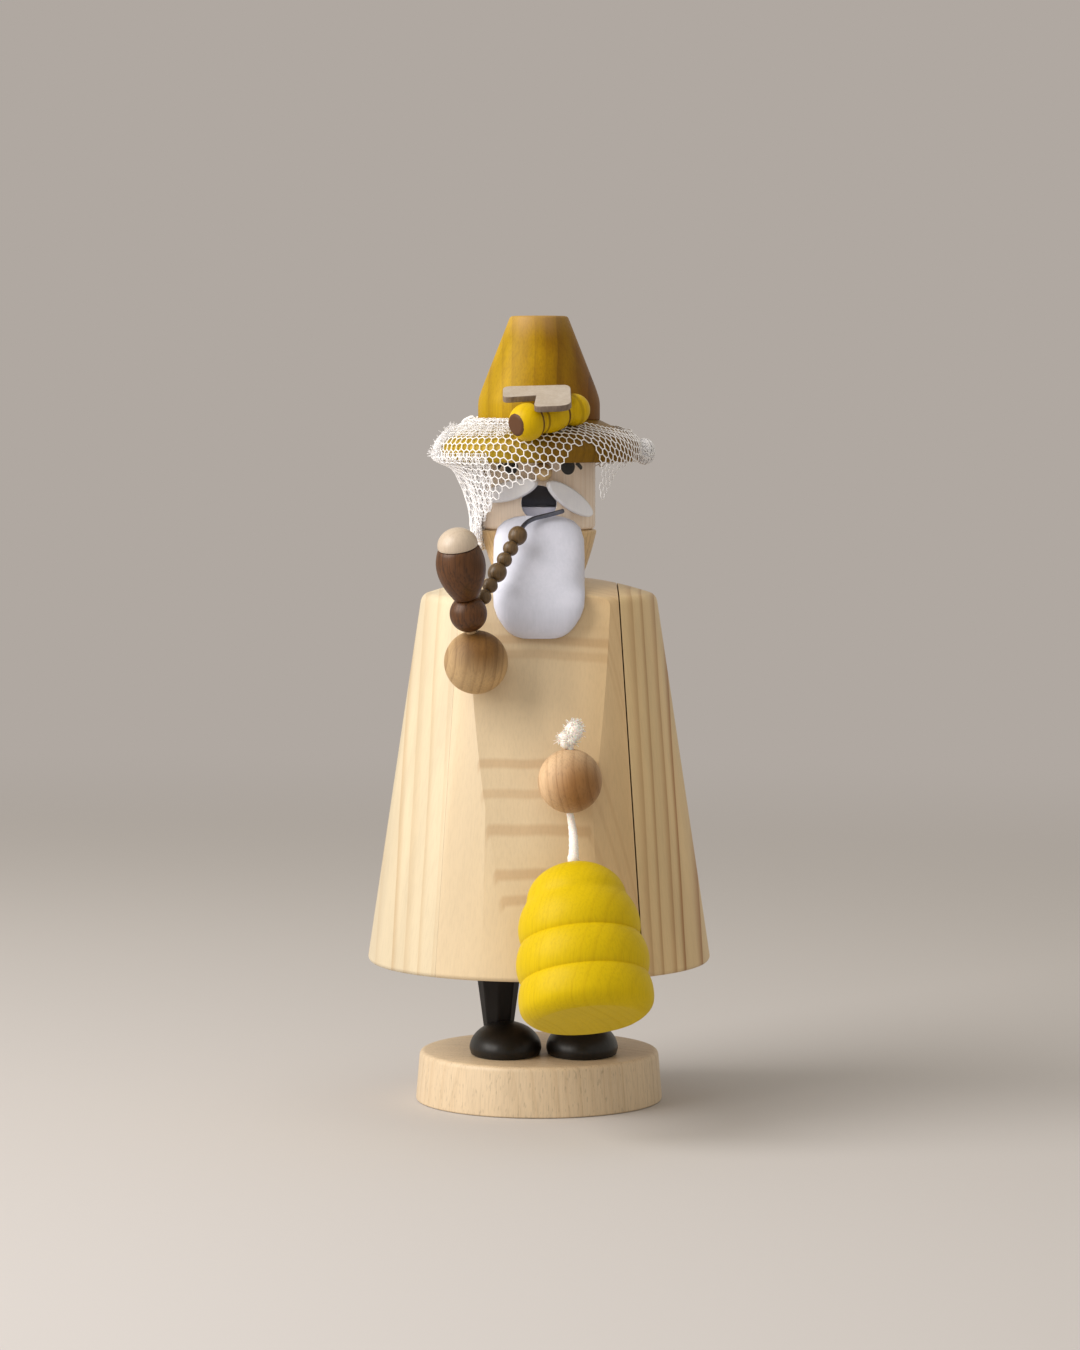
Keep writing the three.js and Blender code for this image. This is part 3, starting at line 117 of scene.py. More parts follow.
def arc(centre: Point, radius: float, start: float, end: float, steps: int, tall: float | None = None) -> list[Point]:
    """Points on an arc.

    Args:
        centre: radius and height of its centre.
        radius: its radius.
        start: its first angle in degrees.
        end: its last angle in degrees.
        steps: how many flats it has.
        tall: its radius upwards, where that is another.

    Returns:
        The points.
    """
    angles = [math.radians(start + (end - start) * i / steps) for i in range(steps + 1)]
    tall = radius if tall is None else tall
    return [(centre[0] + radius * math.cos(a), centre[1] + tall * math.sin(a)) for a in angles]


def bezier(first: Sequence[float], control: Sequence[float], last: Sequence[float], steps: int) -> list[Point]:
    """Points on a curve with one control point.

    Args:
        first: where it starts.
        control: the point that it bends towards.
        last: where it ends.
        steps: how many flats it has.

    Returns:
        The points.
    """
    shares = [i / steps for i in range(steps + 1)]
    corners = list(zip(first, control, last))
    return [tuple((1 - t) ** 2 * a + 2 * t * (1 - t) * b + t * t * c for a, b, c in corners) for t in shares]


def rounded(points: Sequence[Point], radii: dict[int, float], steps: int = 5) -> list[Point]:
    """Rounds chosen corners of an outline.

    Args:
        points: the outline's corners.
        radii: how far from a corner, by its index, the rounding starts.
        steps: how many flats each rounding has.

    Returns:
        The outline with its corners rounded.
    """
    made: list[Point] = []
    for i, point in enumerate(points):
        if i not in radii:
            made.append(point)
            continue
        ends = []
        for other in (points[i - 1], points[(i + 1) % len(points)]):
            side = Vector(other) - Vector(point)
            ends.append(Vector(point) + side.normalized() * min(radii[i], side.length * 0.49))
        made += bezier(ends[0], point, ends[1], steps)
    return made


def reading(table: Sequence[Point], where: float) -> float:
    """Straight-line reading of a table of pairs.

    Args:
        table: keys and values, in the order of the keys.
        where: the key to read at.

    Returns:
        The value there.
    """
    if where <= table[0][0]:
        return table[0][1]
    for (k0, v0), (k1, v1) in zip(table, table[1:]):
        if where <= k1:
            return v0 + (v1 - v0) * (where - k0) / (k1 - k0)
    return table[-1][1]


def smooth(low: float, high: float, value: float) -> float:
    """A soft step from 0 at low to 1 at high."""
    t = min(1.0, max(0.0, (value - low) / (high - low)))
    return t * t * (3 - 2 * t)


def aimed(place: Sequence[float], direction: Sequence[float]) -> Matrix:
    """The matrix that takes the Z axis to a direction at a place."""
    turn = Vector((0, 0, 1)).rotation_difference(Vector(direction).normalized())
    return Matrix.Translation(Vector(place)) @ turn.to_matrix().to_4x4()


def catmull(points: Sequence[Vector], steps: int) -> list[Vector]:
    """A smooth path through points.

    Args:
        points: what it passes through.
        steps: how many flats lie between two of them.

    Returns:
        The path.
    """
    ends = [points[0] * 2 - points[1], *points, points[-1] * 2 - points[-2]]
    made = []
    for p0, p1, p2, p3 in zip(ends, ends[1:], ends[2:], ends[3:]):
        for t in (k / steps for k in range(steps)):
            made.append(0.5 * (2 * p1 + (p2 - p0) * t + (2 * p0 - 5 * p1 + 4 * p2 - p3) * t * t
                               + (3 * p1 - p0 - 3 * p2 + p3) * t ** 3))
    return [*made, points[-1].copy()]


def lengths(path: Sequence[Vector]) -> list[float]:
    """How far along a path each of its points is.

    Args:
        path: the points.

    Returns:
        The length up to each point.
    """
    made = [0.0]
    for a, b in zip(path, path[1:]):
        made.append(made[-1] + (b - a).length)
    return made


def linked(name: str, data: bpy.types.ID) -> bpy.types.Object:
    """Puts an object in the scene.

    Args:
        name: the object's name.
        data: its mesh, lamp or camera.

    Returns:
        The object.
    """
    made = bpy.data.objects.new(name, data)
    bpy.context.scene.collection.objects.link(made)
    return made


def evaluated_mesh(piece: bpy.types.Object) -> bpy.types.Mesh:
    """The mesh that a piece has after its modifiers."""
    return bpy.data.meshes.new_from_object(piece.evaluated_get(bpy.context.evaluated_depsgraph_get()))


class Blank:
    """A mesh in the making, in millimetres."""

    def __init__(self) -> None:
        """Starts with nothing."""
        self.bm = bmesh.new()

    def row(self, spots: Iterable[Sequence[float]]) -> list[Corner]:
        """Adds a row of corners."""
        return [self.bm.verts.new(spot) for spot in spots]

    def outward(self) -> "Blank":
        """Turns the faces outwards."""
        bmesh.ops.recalc_face_normals(self.bm, faces=self.bm.faces)
        return self

    def bridged(self, rows: Sequence[list[Corner]], capped: bool = False) -> "Blank":
        """Joins closed rows of corners, each with the next.

        Args:
            rows: the rows, equally long, or of one corner on the axis.
            capped: whether the first and last row are closed with a face.

        Returns:
            The same mesh.
        """
        for a, b in zip(rows, rows[1:]):
            sides = max(len(a), len(b))
            for i in range(sides):
                j = (i + 1) % sides
                kept = dict.fromkeys((a[i % len(a)], a[j % len(a)], b[j % len(b)], b[i % len(b)]))
                if len(kept) > 2:
                    self.bm.faces.new(list(kept))
        if capped:
            self.bm.faces.new(rows[0][::-1])
            self.bm.faces.new(rows[-1])
        return self.outward()

    @classmethod
    def turned(cls, outline: Sequence[Point], sides: int = FINE) -> "Blank":
        """Turns an outline about the Z axis.

        Args:
            outline: radii and heights. It closes on itself, or starts and ends on the axis.
            sides: how many flats go round.

        Returns:
            The turned mesh.
        """
        blank, rows = cls(), []
        for radius, z in outline:
            angles = [2 * math.pi * i / sides for i in range(sides if radius > ON_AXIS else 1)]
            radius = radius if radius > ON_AXIS else 0.0
            rows.append(blank.row((radius * math.cos(a), radius * math.sin(a), z) for a in angles))
        if len(rows[0]) > 1 and len(rows[-1]) > 1:
            rows.append(rows[0])
        return blank.bridged(rows)

    @classmethod
    def plate(cls, outline: Sequence[Point], thickness: float) -> "Blank":
        """A flat plate between height 0 and its thickness.

        Args:
            outline: its corners, seen from above.
            thickness: how thick it is.

        Returns:
            The plate.
        """
        blank = cls()
        low, high = (blank.row((x, y, z) for x, y in outline) for z in (0, thickness))
        blank.bm.faces.new(low[::-1])
        blank.bm.faces.new(high)
        return blank.bridged([low, high])

    @classmethod
    def tube(cls, path: Sequence[Vector], radius: Callable[[float, float], float], sides: int = SMALL) -> "Blank":
        """A tube along a path, closed at both ends.

        Args:
            path: the points that it follows.
            radius: its radius at a share of the path and an angle.
            sides: how many flats go round.

        Returns:
            The tube.
        """
        blank, rows, normal, last = cls(), [], Vector((1, 0, 0)), len(path) - 1
        angles = [2 * math.pi * k / sides for k in range(sides)]
        for i, point in enumerate(path):
            tangent = (path[min(i + 1, last)] - path[max(i - 1, 0)]).normalized()
            normal = (normal - tangent * normal.dot(tangent)).normalized()
            side = tangent.cross(normal)
            rows.append(blank.row(point + (normal * math.cos(a) + side * math.sin(a)) * radius(i / last, a)
                                  for a in angles))
        return blank.bridged(rows, capped=True)

    @classmethod
    def strands(cls, paths: Iterable[Sequence[Vector]]) -> "Blank":
        """A guide of separate lines.

        Args:
            paths: the points of each line.

        Returns:
            The guide.
        """
        guide = cls()
        for corners in map(guide.row, paths):
            for pair in zip(corners, corners[1:]):
                guide.bm.edges.new(pair)
        return guide

    @classmethod
    def lattice(cls, rows: int, columns: int, spot: Callable[[int, int], Vector | None], closed: bool) -> "Blank":
        """Triangles between the middles of a honeycomb's cells.

        Args:
            rows: how many rows of cells there are.
            columns: how many cells are in a row.
            spot: a cell's middle by row and column, or None where there is no cell.
            closed: whether each row meets its own start.

        Returns:
            The lattice.
        """
        blank = cls()
        spots = {(i, j): spot(i, j) for i in range(rows) for j in range(columns)}
        grid = {key: blank.bm.verts.new(place) for key, place in spots.items() if place is not None}
        for row in range(rows - 1):
            for column in range(columns if closed else columns - 1):
                right = (column + 1) % columns
                a, b, c, d = (row, column), (row, right), (row + 1, column), (row + 1, right)
                for trio in ((a, b, d), (a, d, c)) if row % 2 else ((a, b, c), (b, d, c)):
                    if all(key in grid for key in trio):
                        blank.bm.faces.new([grid[key] for key in trio])
        bmesh.ops.delete(blank.bm, geom=[v for v in blank.bm.verts if not v.link_faces], context="VERTS")
        return blank

    def placed(self, matrix: Matrix) -> "Blank":
        """Moves the mesh and returns it."""
        self.bm.transform(matrix)
        return self

    def sawn(self, point: Sequence[float], normal: Sequence[float]) -> "Blank":
        """Cuts away what lies on one side of a plane and closes the cut.

        Args:
            point: a point on the plane.
            normal: the side that goes.

        Returns:
            The same mesh.
        """
        geometry = [*self.bm.verts, *self.bm.edges, *self.bm.faces]
        made = bmesh.ops.bisect_plane(
            self.bm, geom=geometry, plane_co=Vector(point), plane_no=Vector(normal), clear_outer=True)
        bmesh.ops.contextual_create(self.bm, geom=[e for e in made["geom_cut"] if isinstance(e, bmesh.types.BMEdge)])
        return self.outward()

    def carved(self, tool: "Blank") -> "Blank":
        """Cuts another mesh out of this one.

        Args:
            tool: the mesh to cut out.

        Returns:
            The new mesh.
        """
        kept, gone = (linked("carving", blank.mesh("carving")) for blank in (self, tool))
        modifier = kept.modifiers.new("cut", "BOOLEAN")
        modifier.operation, modifier.solver, modifier.object = "DIFFERENCE", "EXACT", gone
        made = Blank()
        made.bm.from_mesh(evaluated_mesh(kept))
        made.bm.transform(Matrix.Scale(1 / MM, 4))
        for holder in (kept, gone):
            bpy.data.objects.remove(holder)
        return made

    def mesh(self, name: str) -> bpy.types.Mesh:
        """Makes the mesh, in metres, and lets go of the working copy.

        Args:
            name: the mesh's name.

        Returns:
            The mesh.
        """
        mesh = bpy.data.meshes.new(name)
        self.bm.transform(Matrix.Scale(MM, 4))
        self.bm.to_mesh(mesh)
        self.bm.free()
        return mesh


# Finishes


class Shader:
    """One material, built node by node around a Principled shader."""

    def __init__(self, name: str) -> None:
        """Starts a material.

        Args:
            name: the material's name.
        """
        self.material = bpy.data.materials.new(name)
        self.material.use_nodes = True
        self.tree = self.material.node_tree
        self.tree.nodes.clear()
        self.surface = self.tree.nodes.new("ShaderNodeBsdfPrincipled")
        self.output = self.node("ShaderNodeOutputMaterial", {0: self.surface.outputs[0]})

    def node(self, kind: str, inputs: dict[str | int, object], **settings: object) -> bpy.types.Node:
        """Adds a node.

        Args:
            kind: its type.
            inputs: a value or another node's socket for each input, by name or index.
            settings: its other properties.

        Returns:
            The node.
        """
        made = self.tree.nodes.new(kind)
        for key, value in settings.items():
            setattr(made, key, value)
        self.fill(made, inputs)
        return made

    def fill(self, node: bpy.types.Node, inputs: dict[str | int, object]) -> None:
        """Gives a node its inputs.

        Args:
            node: the node.
            inputs: a value or another node's socket for each input, by name or index.
        """
        for key, value in inputs.items():
            if isinstance(value, Socket):
                self.tree.links.new(value, node.inputs[key])
            else:
                node.inputs[key].default_value = value

    def set(self, **values: object) -> None:
        """Sets the shader's own inputs, with _ for a space."""
        self.fill(self.surface, {key.replace("_", " "): value for key, value in values.items()})

    def sum(self, operation: str, *values: object) -> Socket:
        """The result of a sum on numbers or sockets."""
        return self.node("ShaderNodeMath", dict(enumerate(values)), operation=operation).outputs[0]

    def vector(self, operation: str, *values: object, output: int = 1) -> Socket:
        """The result of a vector sum: its value, or with output 0 its vector."""
        return self.node("ShaderNodeVectorMath", dict(enumerate(values)), operation=operation).outputs[output]

    def reach(self, place: Socket, mask: Place) -> Socket:
        """How far a place is from the origin, along the axes that the mask keeps."""
        return self.vector("LENGTH", self.vector("MULTIPLY", place, mask, output=0))

    def mix(self, share: object, first: object, second: object, kind: str = "MIX") -> Socket:
        """A mix of two colours, by the share of the second."""
        inputs = {0: share, 6: first, 7: second}
        return self.node("ShaderNodeMix", inputs, data_type="RGBA", blend_type=kind).outputs[2]

    def tinted(self, colour: Socket, tint: object, share: object = 1.0) -> Socket:
        """A colour times another, as far as the share says."""
        return self.mix(share, colour, tint, "MULTIPLY")

    def ramp(self, factor: Socket, stops: Sequence[Point]) -> Socket:
        """A number read from a soft table.

        Args:
            factor: where to read, from 0 to 1.
            stops: the places and their values.

        Returns:
            The number.
        """
        made = self.node("ShaderNodeValToRGB", {0: factor})
        elements = made.color_ramp.elements
        while len(elements) < len(stops):
            elements.new(0.5)
        for element, (place, value) in zip(elements, stops):
            element.position, element.color = place, (value, value, value, 1)
        return made.outputs[0]

    def fade(self, value: object, low: float, high: float, first: float = 0.0, last: float = 1.0) -> Socket:
        """A soft change from first, where the value is low, to last, where it is high."""
        inputs = {"Value": value, "From Min": low, "From Max": high, "To Min": first, "To Max": last}
        return self.node("ShaderNodeMapRange", inputs, interpolation_type="SMOOTHSTEP").outputs[0]

    def spots(self, vector: Socket, scale: float, detail: float = 3.0) -> Socket:
        """Soft noise at a scale per unit of the vector."""
        return self.node("ShaderNodeTexNoise", {"Vector": vector, "Scale": scale, "Detail": detail}).outputs[0]

    def place(self, turn: Place = (0, 0, 0), stretch: Place = (1, 1, 1), shift: Place = (0, 0, 0)) -> Socket:
        """The place on the object in millimetres.

        Args:
            turn: how the pattern is turned, in degrees.
            stretch: what each axis is multiplied by after that.
            shift: what is added at the end.

        Returns:
            The place.
        """
        here = self.node("ShaderNodeTexCoord", {}).outputs["Object"]
        turned = {"Vector": here, "Rotation": [math.radians(a) for a in turn], "Scale": (1 / MM,) * 3}
        here = self.node("ShaderNodeMapping", turned).outputs[0]
        return self.node("ShaderNodeMapping", {"Vector": here, "Scale": stretch, "Location": shift}).outputs[0]

    def axes(self, place: Socket | None = None) -> bpy.types.NodeOutputs:
        """The X, Y and Z of a place, or of the place on the object."""
        return self.node("ShaderNodeSeparateXYZ", {0: place or self.place()}).outputs

    def bump(self, height: Socket, depth: float) -> None:
        """Raises the surface by a height map, its depth in millimetres."""
        self.set(Normal=self.node("ShaderNodeBump", {"Height": height, "Distance": depth * MM}).outputs[0])


MADE: dict[str, bpy.types.Material] = {}


@dataclass(frozen=True)
class Finish:
    """What every finish has: a name, two colours and a roughness, and a material that is made once."""

    name: str
    light: str
    dark: str
    roughness: float = 0.5

    def material(self) -> bpy.types.Material:
        """The finish's material, which is made on the first call.

        Returns:
            The material.
        """
        if self.name not in MADE:
            sheet = Shader(self.name)
            self.dress(sheet)
            MADE[self.name] = sheet.material
        return MADE[self.name]

    def tone(self, sheet: Shader, share: Socket) -> Socket:
        """A mix of both colours, by the share of the dark one."""
        return sheet.mix(share, hexed(self.light), hexed(self.dark))

    def dress(self, sheet: Shader) -> None:
        """Builds the material. Each kind of finish has its own way."""
        raise NotImplementedError


@dataclass(frozen=True)
class Wood(Finish):
    """Wood with its rings, fibres and flecks, bare, varnished or stained."""

    ring: float = 1.6
    pith: Place = (30, 10, 0)
    turn: Place = (0, 0, 0)
    depth: float = 0.35
    wavy: float = 0.5
    fibre: float = 0.2
    fleck: float = 0.0
    patch: float = 0.25
    gloss: float = 0.12
    relief: float = 0.03
    specular: float = 0.5
    even: bool = False

    def dress(self, sheet: Shader) -> None:
        """Builds the wood.

        Args:
            sheet: the material in the making.
        """
        place, long, dash, fine = (sheet.place(self.turn, (1, 1, k), self.pith) for k in (1, 0.18, 0.22, 0.035))
        sway = sheet.sum("SUBTRACT", sheet.spots(long, 0.045, 2.0), 0.5)
        reach = sheet.sum("ADD", sheet.reach(place, (1, 1, 0)), sheet.sum("MULTIPLY", sway, self.wavy * 4))
        count = sheet.sum("DIVIDE", reach, self.ring)
        drift = {"W": sheet.sum("MULTIPLY", count, 0.37), "Scale": 1.0, "Detail": 1.0}
        uneven = sheet.node("ShaderNodeTexNoise", drift, noise_dimensions="1D").outputs[0]
        count = sheet.sum("ADD", count, sheet.sum("MULTIPLY", uneven, 1.6))
        late = sheet.ramp(sheet.sum("FRACT", count),
                          [(0.0, 0.85), (0.05, 0.12), (0.35, 0.0), (0.62, 0.12), (0.86, 0.75), (0.97, 1.0)])
        year = sheet.node("ShaderNodeTexWhiteNoise", {"W": sheet.sum("FLOOR", count)}, noise_dimensions="1D").outputs[0]
        late = sheet.sum("MULTIPLY", late, sheet.sum("MULTIPLY_ADD", year, 0.75, 0.35))
        late = self.marked(sheet, reach, late)
        fibre = sheet.spots(fine, 2.6, 4.0)
        colour = self.tone(sheet, sheet.sum("MULTIPLY", late, self.depth))
        colour = sheet.tinted(colour, sheet.ramp(fibre, [(0.3, 1 - self.fibre), (0.55, 1.0)]))
        blotches = sheet.ramp(sheet.spots(long, 0.11, 2.0), [(0.35, 1 - self.patch * 0.4), (0.65, 1.0)])
        colour = sheet.tinted(colour, blotches)
        if self.fleck:
            colour = sheet.tinted(colour, sheet.ramp(sheet.spots(dash, 2.1, 1.0), [(0.62, 1.0), (0.7, 1 - self.fleck)]))
        height = sheet.sum("ADD", sheet.sum("MULTIPLY", fibre, 0.7), sheet.sum("MULTIPLY", late, 0.5))
        rough = self.roughness if self.even else sheet.sum("MULTIPLY_ADD", height, 0.12, self.roughness - 0.06)
        sheet.set(Base_Color=self.worn_and_painted_light(sheet, colour), Roughness=rough, Coat_Weight=self.gloss, Coat_Roughness=0.25,
                  Specular_IOR_Level=self.specular)
        sheet.bump(height, self.relief)

    def marked(self, sheet: Shader, reach: Socket, late: Socket) -> Socket:
        """How dark the rings are. Plain wood shows them all alike."""
        return late

    def worn_and_painted_light(self, sheet: Shader, colour: Socket) -> Socket:
        """The wood's colour with what has been done to it and with any painted light or shade, which is nothing to
        plain wood.
        """
        return colour


@dataclass(frozen=True)
class PlankWood(Wood):
    """Wood from far off the pith, with a calm zone in front of some depth and its own dark bands there, and painted
    shade towards its right side.
    """

    calm: float = -24.2
    bands: tuple[Place, ...] = ()
    strong: Point = (-14.0, 10.0)
    weak: float = 0.25
    front: Place = (42.05, 0.2165, 34.0)
    beside: float = 0.4
    # Painted shade: a warm tint that darkens the wood towards +X, the side away from the light.
    painted_shade_tint: str = "ffeed0"
    painted_shade_tint_across: Point = (-4.0, 28.0)

    def worn_and_painted_light(self, sheet: Shader, colour: Socket) -> Socket:
        """The colour with painted shade: warmer and darker towards +X, the side away from the light."""
        return sheet.tinted(colour, hexed(self.painted_shade_tint), sheet.fade(sheet.axes()["X"], *self.painted_shade_tint_across))

    def marked(self, sheet: Shader, reach: Socket, late: Socket) -> Socket:
        """Drops the even rings in the calm zone, adds the bands and weakens the rings in front.

        Args:
            sheet: the material in the making.
            reach: the distance from the pith.
            late: the even rings.

        Returns:
            How dark the rings are.
        """
        depth = sheet.sum("SUBTRACT", reach, self.pith[1])
        late = sheet.sum("MULTIPLY", late, sheet.fade(depth, self.calm - 0.4, self.calm + 0.4, 0.1))
        parts = sheet.axes()
        late = sheet.sum("MULTIPLY", late, sheet.fade(parts["Y"], *self.strong, self.weak))
        front, slope, foot = self.front
        plane = sheet.sum("SUBTRACT", sheet.sum("ADD", parts["Y"], front + foot * slope),
                          sheet.sum("MULTIPLY", parts["Z"], slope))
        shown = sheet.sum("MAXIMUM", sheet.fade(plane, 0.04, 0.5, 1.0, 0.0),
                          sheet.fade(parts["X"], 2.0, 10.0, 0.0, self.beside))
        for where, width, strength in self.bands:
            off = sheet.sum("ABSOLUTE", sheet.sum("SUBTRACT", depth, where))
            band = sheet.sum("MULTIPLY", sheet.fade(off, width * 0.3, width, strength, 0.0), shown)
            late = sheet.sum("MAXIMUM", late, band)
        return late


@dataclass(frozen=True)
class StainedWood(Wood):
    """Stained wood with painted shade, browner on the side away from the light, and a painted highlight, paler at the
    top.
    """

    even: bool = True
    specular: float = 0.15
    # Painted shade: the brown tint and where across it sets in.
    painted_shade_brown: str = "8a6a52"
    painted_shade_across: Point = (-9.0, 11.0)
    # Painted highlight: the pale tint and the heights where it sets in.
    pale: str = "d9b58a"
    painted_highlight_up: Point = (500.0, 510.0)

    def worn_and_painted_light(self, sheet: Shader, colour: Socket) -> Socket:
        """The colour with its painted shade on one side and its painted highlight at the top.

        Args:
            sheet: the material in the making.
            colour: the even colour.

        Returns:
            The colour.
        """
        parts = sheet.axes()
        cloud = sheet.sum("MULTIPLY_ADD", sheet.spots(sheet.place(stretch=(1, 1, 0.3)), 0.12, 2.0), 26.0, -13.0)
        share = sheet.fade(sheet.sum("ADD", parts["X"], cloud), *self.painted_shade_across)
        colour = sheet.tinted(colour, hexed(self.painted_shade_brown), share)
        high = sheet.sum("MULTIPLY_ADD", cloud, 0.3, parts["Z"])
        return sheet.mix(sheet.fade(high, *self.painted_highlight_up, 0.0, 0.5), colour, hexed(self.pale))


@dataclass(frozen=True)
class BallWood(Wood):
    """Wood of a ready-turned ball, with one darker patch."""

    roughness: float = 0.65
    depth: float = 0.5
    fibre: float = 0.18
    fleck: float = 0.12
    gloss: float = 0.0
    specular: float = 0.4
    shade: str = "a8794a"
    spot: Place = (0.0, 0.0, 0.0)
    spread: Point = (2.5, 9.5)

    def worn_and_painted_light(self, sheet: Shader, colour: Socket) -> Socket:
        """The colour with its darker patch."""
        away = sheet.vector("DISTANCE", sheet.place(), self.spot)
        return sheet.tinted(colour, hexed(self.shade), sheet.fade(away, *self.spread, 1.0, 0.0))


@dataclass(frozen=True)
class MouthWood(Wood):
    """Head wood with painted light inside the mouth and the hollow: near-white where the cavity lies in shade,
    bluish-white lower down where it stands for the lit lower wall.
    """

    even: bool = True
    roughness: float = 0.45
    gloss: float = 0.2
    hole: Place = (0, 0, 145.3)
    hole_radius: float = 4.25
    hollow_radius: float = 10.5
    hollow_floor: float = -6.65
    hollow_top: float = 5.4
    painted_cavity_light: str = "e0dce2"
    painted_lit_bottom: str = "eef0ff"

    def worn_and_painted_light(self, sheet: Shader, colour: Socket) -> Socket:
        """The colour, with painted light inside the hole and the hollow.

        Args:
            sheet: the material in the making.
            colour: the wood's own colour.

        Returns:
            The colour.
        """
        place = sheet.place(shift=tuple(-v for v in self.hole))
        parts = sheet.axes(place)
        bore = sheet.sum("LESS_THAN", sheet.reach(place, (1, 0, 1)), self.hole_radius)
        bore = sheet.sum("MULTIPLY", bore, sheet.sum("LESS_THAN", parts["Y"], 0.0))
        hollow = sheet.sum("LESS_THAN", sheet.reach(place, (1, 1, 0)), self.hollow_radius)
        hollow = sheet.sum("MULTIPLY", hollow, sheet.sum("GREATER_THAN", parts["Z"], self.hollow_floor))
        hollow = sheet.sum("MULTIPLY", hollow, sheet.sum("LESS_THAN", parts["Z"], self.hollow_top))
        # Painted light in the cavity: bluish-white at the bottom, near-white above it.
        height = sheet.sum("MULTIPLY_ADD", sheet.spots(place, 0.6), 2.0, parts["Z"])
        painted_cavity_light = sheet.mix(sheet.fade(height, 0.4, 2.8), hexed(self.painted_lit_bottom), hexed(self.painted_cavity_light))
        return sheet.mix(sheet.sum("MAXIMUM", bore, hollow), colour, painted_cavity_light)


@dataclass(frozen=True)
class BandedWood(Wood):
    """Wood with burnt rings across an axis and a dark end."""

    even: bool = True
    place: Place = (0, 0, 0)
    axis: Place = (0, 0, 1)
    bands: tuple[Place, ...] = ()
    burnt: str = "2a1408"
    face_from: float = 99.0
    face: str = "3d2418"

    def worn_and_painted_light(self, sheet: Shader, colour: Socket) -> Socket:
        """The colour with its burnt rings.

        Args:
            sheet: the material in the making.
            colour: the plain colour.

        Returns:
            The colour.
        """
        here = sheet.place(shift=tuple(-v for v in self.place))
        ragged = sheet.sum("MULTIPLY_ADD", sheet.spots(here, 1.3), 0.25, -0.125)
        along = sheet.sum("ADD", sheet.vector("DOT_PRODUCT", here, self.axis), ragged)
        ring: object = 0.0
        for band, width, strength in self.bands:
            off = sheet.sum("ABSOLUTE", sheet.sum("SUBTRACT", along, band))
            ring = sheet.sum("MAXIMUM", ring, sheet.fade(off, width * 0.35, width, strength, 0.0))
        colour = sheet.mix(ring, colour, hexed(self.burnt))
        return sheet.mix(sheet.sum("GREATER_THAN", along, self.face_from), colour, hexed(self.face))


@dataclass(frozen=True)
class Paint(Finish):
    """Brushed paint on wood."""

    gloss: float = 0.0
    relief: float = 0.03
    specular: float = 0.5
    grain: float = 0.5

    def dress(self, sheet: Shader) -> None:
        """Builds the paint.

        Args:
            sheet: the material in the making.
        """
        fibre = sheet.spots(sheet.place(stretch=(1, 1, 0.12)), 1.6, 4.0)
        cloud = sheet.sum("MULTIPLY", sheet.spots(sheet.place(), 0.22, 2.0), 1 - self.grain)
        share = sheet.ramp(sheet.sum("MULTIPLY_ADD", fibre, self.grain, cloud), [(0.36, 1.0), (0.6, 0.0)])
        rough = sheet.sum("MULTIPLY_ADD", fibre, 0.16, self.roughness - 0.08)
        sheet.set(Base_Color=self.tone(sheet, share), Roughness=rough, Coat_Weight=self.gloss, Coat_Roughness=0.2,
                  Specular_IOR_Level=self.specular)
        sheet.bump(fibre, self.relief)


@dataclass(frozen=True)
class Metal(Finish):
    """Drawn or stamped metal."""

    def dress(self, sheet: Shader) -> None:
        """Builds the metal.

        Args:
            sheet: the material in the making.
        """
        cloud = sheet.spots(sheet.place(), 0.9)
        rough = sheet.sum("MULTIPLY_ADD", cloud, 0.2, self.roughness - 0.1)
        sheet.set(Base_Color=self.tone(sheet, cloud), Metallic=1.0, Roughness=rough)
        sheet.bump(sheet.spots(sheet.place(), 6.0), 0.01)


@dataclass(frozen=True)
class Thread(Finish):
    """White cotton or synthetic thread."""

    sheen: float = 0.3
    scatter: float = 0.0

    def dress(self, sheet: Shader) -> None:
        """Builds the thread.

        Args:
            sheet: the material in the making.
        """
        share = sheet.ramp(sheet.spots(sheet.place(), 2.4), [(0.4, 1.0), (0.6, 0.0)])
        sheet.set(Base_Color=self.tone(sheet, share), Roughness=self.roughness, Sheen_Weight=self.sheen,
                  Sheen_Roughness=0.5, Subsurface_Weight=self.scatter, Subsurface_Scale=0.0006)
        sheet.bump(sheet.spots(sheet.place(), 7.0), 0.02)


BASE_WOOD = Wood("pale_base_wood", "dcc6a6", "c0a27a", 0.55, ring=2.6, pith=(46, 90, 0), fibre=0.14, fleck=0.2,
                 patch=0.2)
BOOT_PAINT = Paint("black_boot_paint", "0f0c0a", "191512", 0.42, gloss=0.05, specular=0.35)
LEG_PAINT = Paint("black_leg_paint", "0f0b08", "191310", specular=0.25)
COAT_PINE = PlankWood("planed_pine", "dec9a6", "a8783f", 0.45, ring=1.85, pith=(0, 900, 0), depth=0.75, wavy=0.16,
                      fibre=0.06, patch=0.2, gloss=0.2,
                      bands=((-24.9, 0.35, 0.42), (-25.65, 0.35, 0.3), (-31.1, 0.35, 0.42), (-32.6, 0.35, 0.34),
                             (-34.4, 0.42, 0.42), (-36.6, 0.42, 0.48), (-37.9, 0.4, 0.42)))
